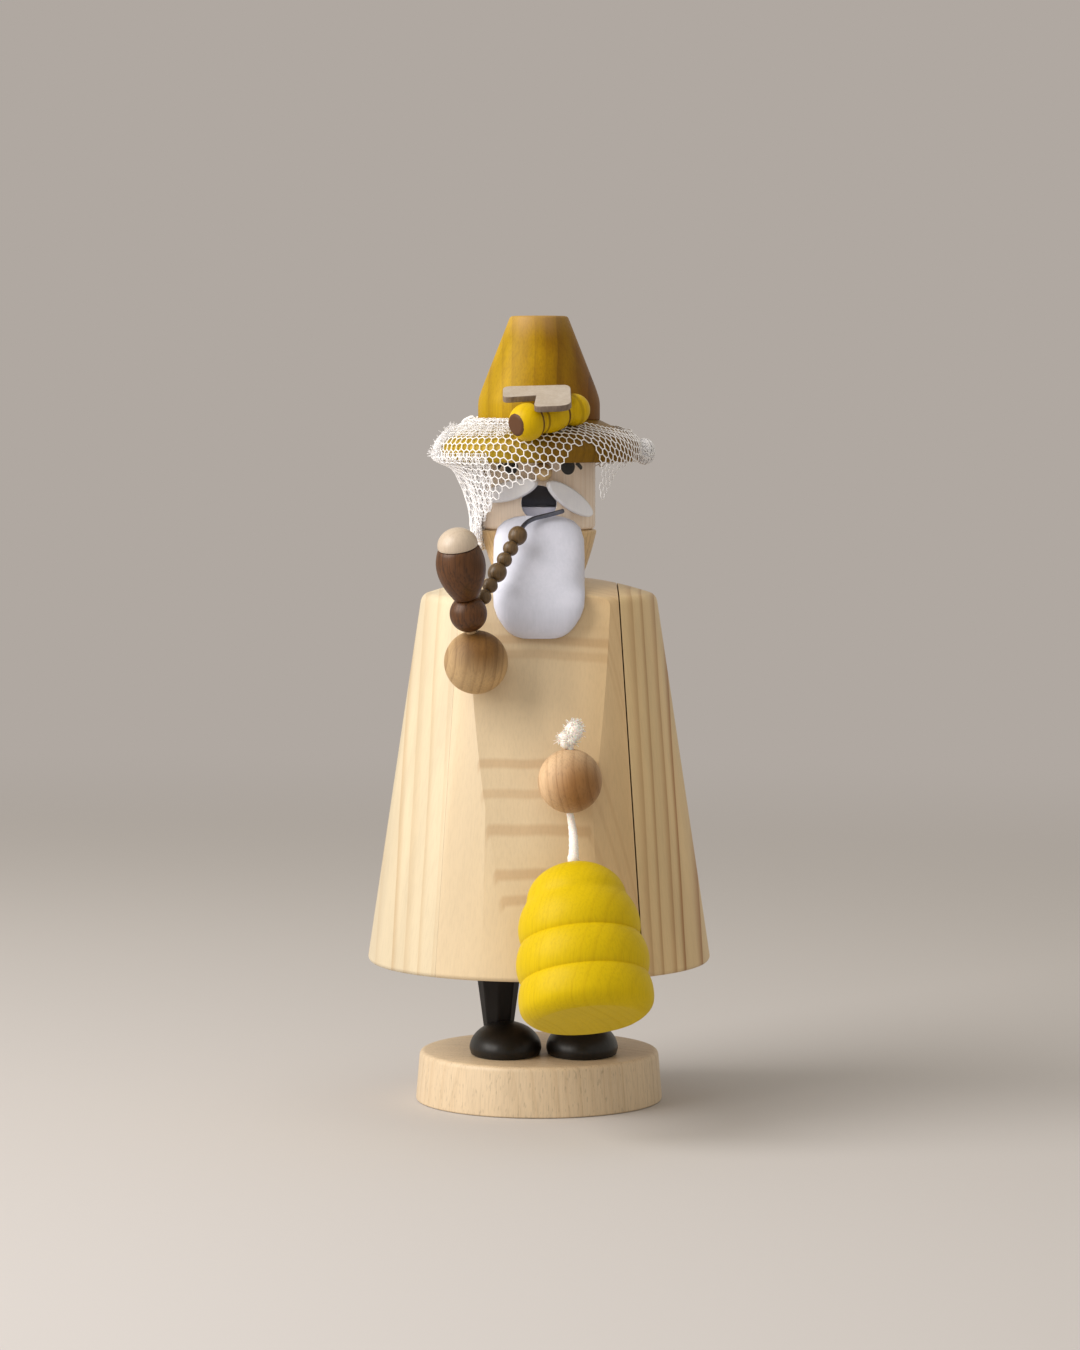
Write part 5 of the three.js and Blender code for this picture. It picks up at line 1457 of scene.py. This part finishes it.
@dataclass
class Hive:
    """The turned skep hive that hangs on the cord."""

    top: Place = (7.9, -47.61, 62.6)
    lean_side: float = 5.7
    lean_out: float = 24.0
    dome_radius: float = 11.6
    dome_height: float = 9.0
    bore: tuple[Point, ...] = ((0, -8.3), (1.15, -8.3), (1.15, -2.4), (1.65, -2.1), (1.65, -0.2), (1.85, -0.02))
    lip: float = 2.1
    edges: tuple[Point, ...] = ((9.0, 11.7), (18.4, 13.6), (27.8, 14.5), (37.6, 14.1))
    swell: float = 1.3
    foot_round: float = 1.9

    @property
    def direction(self) -> Vector:
        """Its axis, up from its foot."""
        return Vector((-math.tan(math.radians(self.lean_side)), math.tan(math.radians(self.lean_out)), 1)).normalized()

    def build(self) -> None:
        """Makes the hive."""
        dome = arc((0, -self.dome_height), self.dome_radius, 86.4, 3.6, 23, self.dome_height)
        outline = [*self.bore, *((max(self.lip, r), z) for r, z in dome)]
        foot = self.edges[-1][0]
        for (d0, r0), (d1, r1) in zip(self.edges, self.edges[1:]):
            for share in (k / 18 for k in range(1, 19)):
                radius = r0 + (r1 - r0) * share + self.swell * max(0.0, math.sin(math.pi * share)) ** 0.7
                if d1 == foot:
                    radius -= self.foot_round * max(0.0, (share - 0.62) / 0.38) ** 2.4
                outline.append((radius, -d0 - (d1 - d0) * share))
        outline += [(outline[-1][0] - 0.35, -foot), (0, -foot)]
        show(Blank.turned(outline).placed(aimed(self.top, self.direction)), "hive_turned", HIVE_STAIN, "hive_paint",
             "hive", body=Body.HIVE, crease=30)


HIVE = Hive()


def thread_piece(guide: Blank, name: str, radius: float, sides: int, finish: Finish,
                 dual: bool = False) -> bpy.types.Object:
    """Turns a guide of points and lines into threads on the figure with a Geometry Nodes tree.

    Args:
        guide: lines to follow, or with dual a lattice of triangles whose cells become a net.
        name: the piece's name.
        radius: the threads' radius.
        sides: how many flats go round one.
        finish: their finish.
        dual: whether the cells between the triangles are wanted.

    Returns:
        The piece.
    """
    tree = bpy.data.node_groups.new(f"{name}_threads", "GeometryNodeTree")
    face, nodes, links = tree.interface, tree.nodes, tree.links
    face.new_socket("Guide", in_out="INPUT", socket_type="NodeSocketGeometry")
    thick = face.new_socket("Thread radius", in_out="INPUT", socket_type="NodeSocketFloat")
    flats = face.new_socket("Thread sides", in_out="INPUT", socket_type="NodeSocketInt")
    face.new_socket("Threads", in_out="OUTPUT", socket_type="NodeSocketGeometry")
    start, end = nodes.new("NodeGroupInput"), nodes.new("NodeGroupOutput")
    kinds = ("DualMesh", "MeshToCurve", "CurvePrimitiveCircle", "CurveToMesh", "RealizeInstances", "SetMaterial")
    cells, curves, ring, skin, real, dress = (nodes.new(f"GeometryNode{kind}") for kind in kinds)
    links.new(start.outputs[0], cells.inputs[0])
    links.new(cells.outputs[0] if dual else start.outputs[0], curves.inputs[0])
    links.new(start.outputs["Thread radius"], ring.inputs["Radius"])
    links.new(start.outputs["Thread sides"], ring.inputs["Resolution"])
    links.new(ring.outputs[0], skin.inputs["Profile Curve"])
    skin.inputs["Fill Caps"].default_value = not dual
    dress.inputs["Material"].default_value = finish.material()
    for first, second in zip((curves, skin, real, dress), (skin, real, dress, end)):
        links.new(first.outputs[0], second.inputs[0])
    piece = linked(name, guide.mesh(name))
    modifier = piece.modifiers.new("threads", "NODES")
    modifier.node_group = tree
    modifier[thick.identifier], modifier[flats.identifier] = radius * MM, sides
    mesh = evaluated_mesh(piece)
    piece.modifiers.clear()
    piece.data = mesh
    mesh.shade_smooth()
    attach(piece, Body.FIGURE.value)
    LOG.info("%s: %d faces", name, len(mesh.polygons))
    return piece


def ruffle(x: float, y: float, z: float) -> float:
    """Smooth noise at a place."""
    return noise.noise(Vector((x, y, z)))


def curled(root: Vector, reach: Vector, curl: Vector, power: float, steps: int) -> list[Vector]:
    """The points of one loose thread.

    Args:
        root: where it starts.
        reach: how far it goes.
        curl: how far it has bent aside at its end.
        power: how late it bends.
        steps: how many flats it has.

    Returns:
        The points.
    """
    return [root + reach * t + curl * t ** power for t in (k / steps for k in range(steps + 1))]


@dataclass
class Cord:
    """The cotton cord from its knot through the hand to the hive, and the knot with its cut ends."""

    radius: float = 1.0
    hive_depth: float = 2.0
    knot_depth: float = 2.2
    strands: int = 3
    twist: float = 5.2
    bow: float = 0.8
    tuft_middle: Place = (0.75, 0, 3.9)
    fray_count: int = 620
    fray_radius: float = 0.055

    def build(self) -> None:
        """Makes the cord, the knot, the fray and the end that is glued into the hive."""
        hand, top, way = HIVE_HAND.centre, Vector(HIVE.top), HIVE.direction
        start = hand - Vector((0, 0, HIVE_HAND.radius + 0.3))
        end = top + way * 0.3
        reach, bow = (end - start).length / 3, Vector((self.bow, 0, 0))
        controls = (start, start - Vector((0, 0, reach)) + bow, end + way * reach + bow, end)
        above = hand.z + HIVE_HAND.radius + self.knot_depth
        path = [Vector((hand.x, hand.y, above + (start.z - above) * i / 24)) for i in range(24)]
        inside = len(path)
        for t in (i / 20 for i in range(21)):
            weights = ((1 - t) ** 3, 3 * t * (1 - t) ** 2, 3 * t * t * (1 - t), t ** 3)
            path.append(sum((c * w for c, w in zip(controls, weights)), Vector()))
        path += [end - way * self.hive_depth * i / 4 for i in range(1, 5)]
        along = lengths(path)
        length = along[-1]
        spots = (inside, inside + 10, -9, -6, -4)
        swell = [(along[i], wide) for i, wide in zip(spots, (0.86, 1.12, 1.22, 1.5, 1.0))]

        def ply(share: float, angle: float) -> float:
            """The cord's outline, three strands twisted together, which spread towards the hive."""
            turn = angle * self.strands + 2 * math.pi * share * length / self.twist * self.strands
            return self.radius * reading(swell, along[round(share * (len(path) - 1))]) * (0.93 + 0.07 * math.cos(turn))

        piece = show(Blank.tube(path, ply, 24), "cord_twisted", CORD_COTTON, "cord_cotton", "hive_cord", body=None,
                     crease=180)
        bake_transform(piece)
        on_it = self.tie_knot(hand + Vector((0, 0, HIVE_HAND.radius)))
        glued = Blank.tube([top - way * (2.1 + 0.5 * i) for i in range(13)],
                           lambda share, angle: 0.93 + 0.07 * math.cos(3 * angle + 21 * share), 24)
        on_it.append(show(glued, "hive_cord_end_glued", CORD_COTTON, "cord_cotton", "hive_cord_end", body=Body.HIVE,
                          crease=60))
        LOG.info("cord length %.1f mm", length)

    def tie_knot(self, foot: Vector) -> list[bpy.types.Object]:
        """Ties the knot on top of the hand and frays its ends.

        Args:
            foot: the top of the hand.

        Returns:
            The knot, its tuft and the fray.
        """
        turns = []
        for t in (2 * math.pi * i / 72 for i in range(72)):
            turns.append(foot + Vector(((math.sin(t) + 2 * math.sin(2 * t)) * 0.45 - 0.7, -math.sin(3 * t) * 0.66,
                                        2.1 + (math.cos(t) - 2 * math.cos(2 * t)) * 0.4)))
        blank = Blank.tube([*turns, *turns[:2]], lambda share, angle: 1.0 + 0.06 * math.cos(3 * angle + 60 * share), 20)
        knot = show(blank, "cord_knot_tied", CORD_COTTON, "cord_cotton", "cord_knot", crease=60)
        middle = foot + Vector(self.tuft_middle)
        lump = Blank.turned(arc((0, 0), 1, 90, -90, 32), 64)
        for vert in lump.bm.verts:
            way = vert.co.normalized()
            swell = 1 + ruffle(way.x * 3.2, way.y * 3.2, way.z * 1.2) * 0.12
            vert.co = middle + Vector((way.x * 2.1 + way.z * 0.35, way.y * 1.6, way.z * 2.5)) * swell
        tuft = show(lump, "cord_tuft", CORD_COTTON, "cord_cotton", crease=80)
        rng, hairs = random.Random(SEED), []
        for i in range(self.fray_count):
            lean, spin = rng.uniform(0, 2.1), rng.uniform(0, 2 * math.pi)
            way = Vector((math.sin(lean) * math.cos(spin), math.sin(lean) * math.sin(spin), math.cos(lean)))
            root = middle + Vector((way.x * 1.9 + way.z * 0.35, way.y * 1.45, way.z * 2.2))
            if i % 3 == 0:
                root = foot + Vector((way.x * 2.1 - 0.7, way.y * 1.6, 2.0 + way.z * 1.6))
            size = rng.uniform(0.25, 0.8)
            curl = Vector([rng.uniform(-1, 1) for _ in range(3)])
            hairs.append(curled(root, way * size, curl * 0.7, 1.5, 5))
        fray = thread_piece(Blank.strands(hairs), "cord_fray", self.fray_radius, 4, CORD_COTTON)
        return [knot, tuft, fray]


@dataclass
class Veil:
    """The honeycomb net laid over the brim and gathered behind the head, with its bunched ends.

    Five tables go by bearing, in degrees: how far the net hangs below the head's top, how far it is drawn in towards
    the neck from 0 to 1, how much of it is squeezed in (1 where it lies smooth), the radius at which it starts on the
    brim, and how much is turned back on itself there. The curtain's radius, fully drawn in, goes by depth.
    """

    pitch: float = 1.95
    thread: float = 0.15
    rim_radius: float = 25.3
    lift: float = 0.5
    pleat: float = 6.5
    hem: tuple[Point, ...] = (
        (0, 0.8), (35, 1.2), (52, 4), (64, 10), (76, 15), (90, 18), (135, 22), (180, 24), (203, 22), (216, 19.5),
        (228, 16.5), (245, 10.6), (249, 8.2), (258, 6.8), (267, 5.2), (277, 4.2), (283, 2.4), (289, 0.8), (291, -0.6),
        (293, -2.2), (300, -1.8), (303, 1.5), (305, 3.5), (309, 9), (314, 10.5), (319, 7), (324, 4), (328, 1.8),
        (334, 0.8), (360, 0.8))
    drawn: tuple[Point, ...] = (
        (0, 0.2), (40, 0.4), (60, 0.9), (90, 1), (180, 1), (203, 0.95), (220, 0.55), (228, 0.42), (245, 0.22),
        (258, 0.1), (272, 0.05), (288, 0), (309, 0.35), (325, 0.4), (340, 0.2), (360, 0.2))
    gather: tuple[Point, ...] = (
        (0, 1.3), (30, 1.2), (60, 1.4), (140, 1.7), (155, 3.7), (190, 3.7), (197, 1.9), (202, 0.9), (214, 0.92),
        (222, 1.0), (300, 1.02), (316, 1.3), (335, 1.4), (360, 1.3))
    start: tuple[Point, ...] = (
        (0, 21.5), (40, 18), (90, 16.2), (180, 15.5), (296, 15.6), (312, 18.2), (335, 21.6), (350, 22.2), (360, 21.5))
    turned_back: tuple[Point, ...] = (
        (0, 1.5), (60, 1.0), (170, 2.5), (200, 4.2), (250, 4.4), (268, 2.4), (290, 1.2), (305, 0.2), (350, 0.2),
        (360, 1.0))
    curtain: tuple[Point, ...] = (
        (0, 25.3), (1.5, 21.2), (3.4, 19.2), (7.3, 17.0), (13, 15.2), (16.4, 15.0), (24, 14.9))
    fringe_ends: tuple[Place, Place] = ((-25.0, -5.5, 156.4), (-20.6, -8.5, 162.6))
    bunch_middle: Place = (25.4, -1.5, 157.4)
    bunch_reach: Place = (2.7, 3.4, 3.2)

    def curtain_radius(self, bearing: float, depth: float) -> float:
        """The radius of the hanging net at a bearing and a depth below the head's top."""
        return self.rim_radius + (reading(self.curtain, depth) - self.rim_radius) * reading(self.drawn, bearing)

    def over_brim(self, radius: float) -> float:
        """The height at which the net lies on the brim's top at a radius."""
        return reading(sorted(Hat().brim_line(self.lift)), radius)

    def line(self, bearing: float) -> list[Vector]:
        """The line that the net follows down one bearing.

        Args:
            bearing: the bearing round the brim.

        Returns:
            Its points, as radii and heights.
        """
        begin, fold = reading(self.start, bearing), reading(self.turned_back, bearing)
        line = [(r, self.over_brim(min(r, begin + far)) + up) for r, far, up in (
            (begin + fold, fold, 0.7), (begin + 0.5 * fold, fold, 0.8), (begin + 0.1, 0.0, 0.5), (begin, 0.0, 0.0))]
        line += [(r, z) for r, z in Hat().brim_line(self.lift)[::-1] if r > begin]
        drop = reading(self.hem, bearing)
        for depth in (max(drop, 0) * i / 24 for i in range(25)):
            line.append((self.curtain_radius(bearing, depth), LEVELS.head_top - depth))
        return [Vector(p) for p in line if drop >= 0 or p[1] >= LEVELS.head_top - drop]

    def draped(self, bearing: float, along: float, down: float) -> Vector | None:
        """Where a point of the flat net lies.

        Args:
            bearing: its bearing round the brim, in degrees.
            along: how far round the flat net it is.
            down: how far down the net it is.

        Returns:
            The place, or None past the hem.
        """
        line = self.line(bearing)
        left = down + 0.7 * ruffle(along * 0.9, 5.0, 1.0) + 0.35 * ruffle(along * 0.8, down * 0.8, 7.0)
        for a, b in zip(line, line[1:]):
            step = (b - a).length
            if 0 < step and left <= step:
                break
            left -= step
        else:
            return None
        spot, lean = a + (b - a) * (left / step), (b - a) / step
        squeeze = reading(self.gather, bearing) - 1
        hung = smooth(LEVELS.head_top + 4, LEVELS.head_top - 3, spot.y)
        near_crown = smooth(20.0, 16.5, spot.x) if spot.y > LEVELS.head_top + 4 else 0.0
        pleat = (0.5 + 0.5 * math.sin(2 * math.pi * along / self.pleat)) * (0.12 + 0.88 * hung)
        pleat *= 1.1 * max(0.0, min(squeeze, 1.4))
        crumple = ruffle(along * 0.6, down * 0.5, 3.0) * (0.2 + 0.5 * near_crown + 0.45 * min(squeeze, 1.5))
        spot += Vector((abs(lean.y), abs(lean.x))) * (pleat + abs(crumple))
        sway = ruffle(along * 0.3, down * 0.3, 9.0) * 1.4 * min(1.2, squeeze + near_crown)
        angle = math.radians(bearing + sway)
        return Vector((spot.x * math.cos(angle), spot.x * math.sin(angle), spot.y))

    def build(self) -> None:
        """Lays out the lattice, drapes it and turns it into threads, and adds the further layers and the ends."""
        bearings = [i * 0.5 for i in range(721)]
        flat = [0.0]
        for bearing in bearings[1:]:
            flat.append(flat[-1] + math.radians(0.5) * self.rim_radius * reading(self.gather, bearing - 0.25))
        columns = round(flat[-1] / self.pitch)
        step, rise = flat[-1] / columns, self.pitch * math.sqrt(3) / 2
        inverse = list(zip(flat, bearings))
        longest = max(lengths(self.line(bearing))[-1] for bearing in bearings)
        rows = math.ceil(longest / rise) + 1

        def spot(row: int, column: int) -> Vector | None:
            """Where one cell's middle lies."""
            along = (column + 0.5 * (row % 2)) * step
            return self.draped(reading(inverse, along % flat[-1]), along, row * rise)

        blank = Blank.lattice(rows, columns, spot, closed=True)
        net = self.threads(blank, "veil_net", self.thread, 5, dual=True)
        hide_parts("veil")
        ends = [self.layer("veil_fold", 146, 242, 34, 108, 0.1, self.inner),
                self.layer("veil_turned_back", 194, 262, 13, 46, 0.08, self.upper), self.fringe(), self.bunch()]

    def threads(self, guide: Blank, name: str, radius: float, sides: int = 4, dual: bool = False) -> bpy.types.Object:
        """Turns a guide into threads of the net."""
        return thread_piece(guide, name, radius, sides, NET_THREAD, dual)

    def inner(self, bearing: float, share: float) -> Point | None:
        """Where the gathered layers inside the left curtain lie.

        Args:
            bearing: the bearing round the brim.
            share: the share of the way down.

        Returns:
            The radius and height, or None past the hem.
        """
        drop = 25.0 * share - 2.5
        if drop > reading(self.hem, bearing) - 1.0:
            return None
        return self.curtain_radius(bearing, max(drop, 0.0)) - 0.4, LEVELS.head_top - drop

    def upper(self, bearing: float, share: float) -> Point | None:
        """The radius and height of the turned-back layer on the brim's top, by bearing and share of the way out."""
        radius = 16.0 + (24.2 - 16.0 - 3.0 * smooth(246, 262, bearing)) * share
        return radius, self.over_brim(radius) + 0.7

    def layer(self, name: str, first: float, last: float, rows: int, columns: int, radius: float,
              place: Callable[[float, float], Point | None]) -> bpy.types.Object:
        """One more crumpled layer of the net, where it lies several times over itself.

        Args:
            name: the piece's name.
            first: the bearing where it starts.
            last: the bearing where it ends.
            rows: how many rows of cells it has.
            columns: how many cells are in a row.
            radius: the threads' radius.
            place: the radius and height at a bearing and a share of the rows.

        Returns:
            The piece.
        """
        def spot(row: int, column: int) -> Vector | None:
            """Where one cell's middle lies.

            Args:
                row: the cell's row.
                column: its place in the row.

            Returns:
                The place, or None past the hem.
            """
            bearing = first + (last - first) * (column + 0.5 * (row % 2)) / columns
            found = place(bearing, row / (rows - 1))
            if found is None:
                return None
            loose = 0.5 * ruffle(column * 0.9, row * 0.9, 4.0)
            reach = found[0] + 0.45 * math.sin(column * 0.9 + 0.6 * ruffle(column * 0.3, row * 0.1, 2.0)) + loose
            angle = math.radians(bearing + 1.6 * ruffle(column * 0.4, row * 0.4, 8.0))
            return Vector((reach * math.cos(angle), reach * math.sin(angle), found[1] + loose))

        return self.threads(Blank.lattice(rows, columns, spot, closed=False), name, radius, dual=True)

    def fringe(self) -> bpy.types.Object:
        """The frayed edge of the turned-back net along the brim's left side.

        Returns:
            The piece.
        """
        rng, hairs = random.Random(SEED + 1), []
        foot, head = map(Vector, self.fringe_ends)
        for _ in range(520):
            share = rng.random()
            root = foot.lerp(head, share)
            root += Vector((rng.uniform(-0.3, 1.2), rng.uniform(-2.2, 3.2), rng.uniform(-0.6, 0.6)))
            way = Vector((rng.uniform(-0.9, 0.1), rng.uniform(-0.7, 0.7), rng.uniform(-0.1, 0.9))).normalized()
            curl = Vector([rng.uniform(-1, 1) for _ in range(3)])
            hairs.append(curled(root, way * rng.uniform(0.7, 2.1), curl * 0.9, 1.6, 6))
        return self.threads(Blank.strands(hairs), "veil_fringe", 0.07)

    def bunch(self) -> bpy.types.Object:
        """The loose lump of the net's cut threads at the brim's right side.

        Returns:
            The piece.
        """
        rng, hairs = random.Random(f"veil_end_right{SEED}"), []
        for _ in range(700):
            way = Vector([rng.gauss(0, 1) for _ in range(3)]).normalized()
            side = way.cross(Vector([rng.gauss(0, 1) for _ in range(3)])).normalized()
            far = rng.uniform(0.75, 1.0)
            turns = [(k / 6 - 0.5) * rng.uniform(1.1, 1.5) for k in range(7)]
            spots = [way * (far * math.cos(t)) + side * (far * math.sin(t)) for t in turns]
            hairs.append([Vector(self.bunch_middle) + spot * Vector(self.bunch_reach) for spot in spots])
        return self.threads(Blank.strands(hairs), "veil_end_right", 0.075)


@dataclass
class Studio:
    """Floor, light and camera."""

    distance: float = 1013.0
    height: float = 170.6
    pitch: float = 3.8
    lens: float = 111.73
    aside: float = 0.24
    key_place: Place = (-845.0, -375.0, 700.0)
    key_aim: Place = (0, 0, 90)
    key_size: float = 950.0
    key_power: float = 15.2
    key_colour: str = "fffaf4"
    fill: float = 0.58
    fill_colour: str = "fff7ea"
    backdrop: str = "b0a8a1"
    floor_near: str = "c9c6c6"
    floor_far_painted_falloff: str = "b2aeab"
    fade_from: Point = (-200.0, -330.0)

    def build_camera(self) -> None:
        """Sets up the camera."""
        data = bpy.data.cameras.new("camera")
        data.lens, data.sensor_width = self.lens, 36.0
        data.clip_start, data.clip_end = 0.05, 50.0
        camera = linked("camera", data)
        camera.location = Vector((self.aside, -self.distance, self.height)) * MM
        camera.rotation_euler = (math.radians(90 - self.pitch), 0, 0)
        bpy.context.scene.camera = camera

    def build(self) -> None:
        """Sets up the floor, the room and one soft lamp that looks at the figure."""
        self.build_floor()
        self.build_world()
        data = bpy.data.lights.new("key", "AREA")
        data.size, data.energy, data.color = self.key_size * MM, self.key_power, hexed(self.key_colour)[:3]
        lamp = linked("key", data)
        lamp.location = Vector(self.key_place) * MM
        lamp.rotation_euler = (Vector(self.key_aim) - Vector(self.key_place)).to_track_quat("-Z", "Y").to_euler()
        bpy.context.scene.view_settings.view_transform = "Standard"

    def build_floor(self) -> None:
        """Lays a wide pale floor, painted darker away from the front left as painted light falloff, that fades into the
        backdrop.
        """
        sheet = Shader("floor_paper")
        place = sheet.place(stretch=(1, 1, 0), shift=(-self.fade_from[0], -self.fade_from[1], 0))
        reach = sheet.vector("LENGTH", place)
        # Painted light falloff: the floor's colour darkens with distance from a spot at the front left, on the light's
        # side.
        painted_falloff = sheet.ramp(sheet.sum("DIVIDE", reach, 2000.0),
                         [(0.07, 0.0), (0.16, 0.22), (0.25, 0.45), (0.37, 0.72), (0.5, 1.0)])
        sheet.set(Base_Color=sheet.mix(painted_falloff, hexed(self.floor_near), hexed(self.floor_far_painted_falloff)), Roughness=0.8,
                  Specular_IOR_Level=0.1)
        glow = sheet.node("ShaderNodeEmission", {"Color": hexed(self.backdrop), "Strength": 1.0})
        camera_ray = sheet.node("ShaderNodeLightPath", {}).outputs["Is Camera Ray"]
        seen = sheet.sum("MULTIPLY", camera_ray, sheet.fade(reach, 600.0, 1350.0))
        both = sheet.node("ShaderNodeMixShader", {0: seen, 1: sheet.surface.outputs[0], 2: glow.outputs[0]})
        sheet.fill(sheet.output, {0: both.outputs[0]})
        mesh = Blank.turned([(0, -0.05), (6000, -0.05), (6000, -20), (0, -20)], 96).mesh("floor")
        mesh.materials.append(sheet.material)
        linked("floor", mesh)

    def build_world(self) -> None:
        """Lights the room evenly and shows a pale backdrop."""
        world = bpy.data.worlds.new("room")
        bpy.context.scene.world = world
        world.use_nodes = True
        nodes, links = world.node_tree.nodes, world.node_tree.links
        nodes.clear()
        kinds = ("LightPath", "Math", "Background", "Background", "MixShader", "OutputWorld")
        rays, either, light, seen, mix, output = (nodes.new(f"ShaderNode{kind}") for kind in kinds)
        either.operation = "MAXIMUM"
        light.inputs[0].default_value, light.inputs[1].default_value = hexed(self.fill_colour), self.fill
        seen.inputs[0].default_value = hexed(self.backdrop)
        for i, source in enumerate((rays.outputs["Is Camera Ray"], rays.outputs["Is Transmission Ray"])):
            links.new(source, either.inputs[i])
        for i, source in enumerate((either, light, seen)):
            links.new(source.outputs[0], mix.inputs[i])
        links.new(mix.outputs[0], output.inputs[0])


def dress_hidden(nodes: dict[str, bpy.types.Object]) -> None:
    """Gives the CAD nodes that still show their finish.

    Args:
        nodes: the CAD nodes by name.
    """
    for name, node in nodes.items():
        if not node.hide_render:
            node.data.materials.clear()
            node.data.materials.append((PIN_STEEL if name == "bee_pin" else DOWEL_BEECH).material())


def main() -> None:
    """Builds the figure in order."""
    logging.basicConfig(level=logging.INFO, format="%(name)s: %(message)s")
    studio = Studio()
    studio.build_camera()
    for part in (Cord(), Stand(), Coat(), PIPE_HAND, HIVE_HAND, Head(), Hat(), Bee(), Pipe(), HIVE, Veil(), studio):
        part.build()
        LOG.info("%s is built", type(part).__name__)
    dress_hidden(frame["nodes"])


if __name__ == "__main__":
    main()
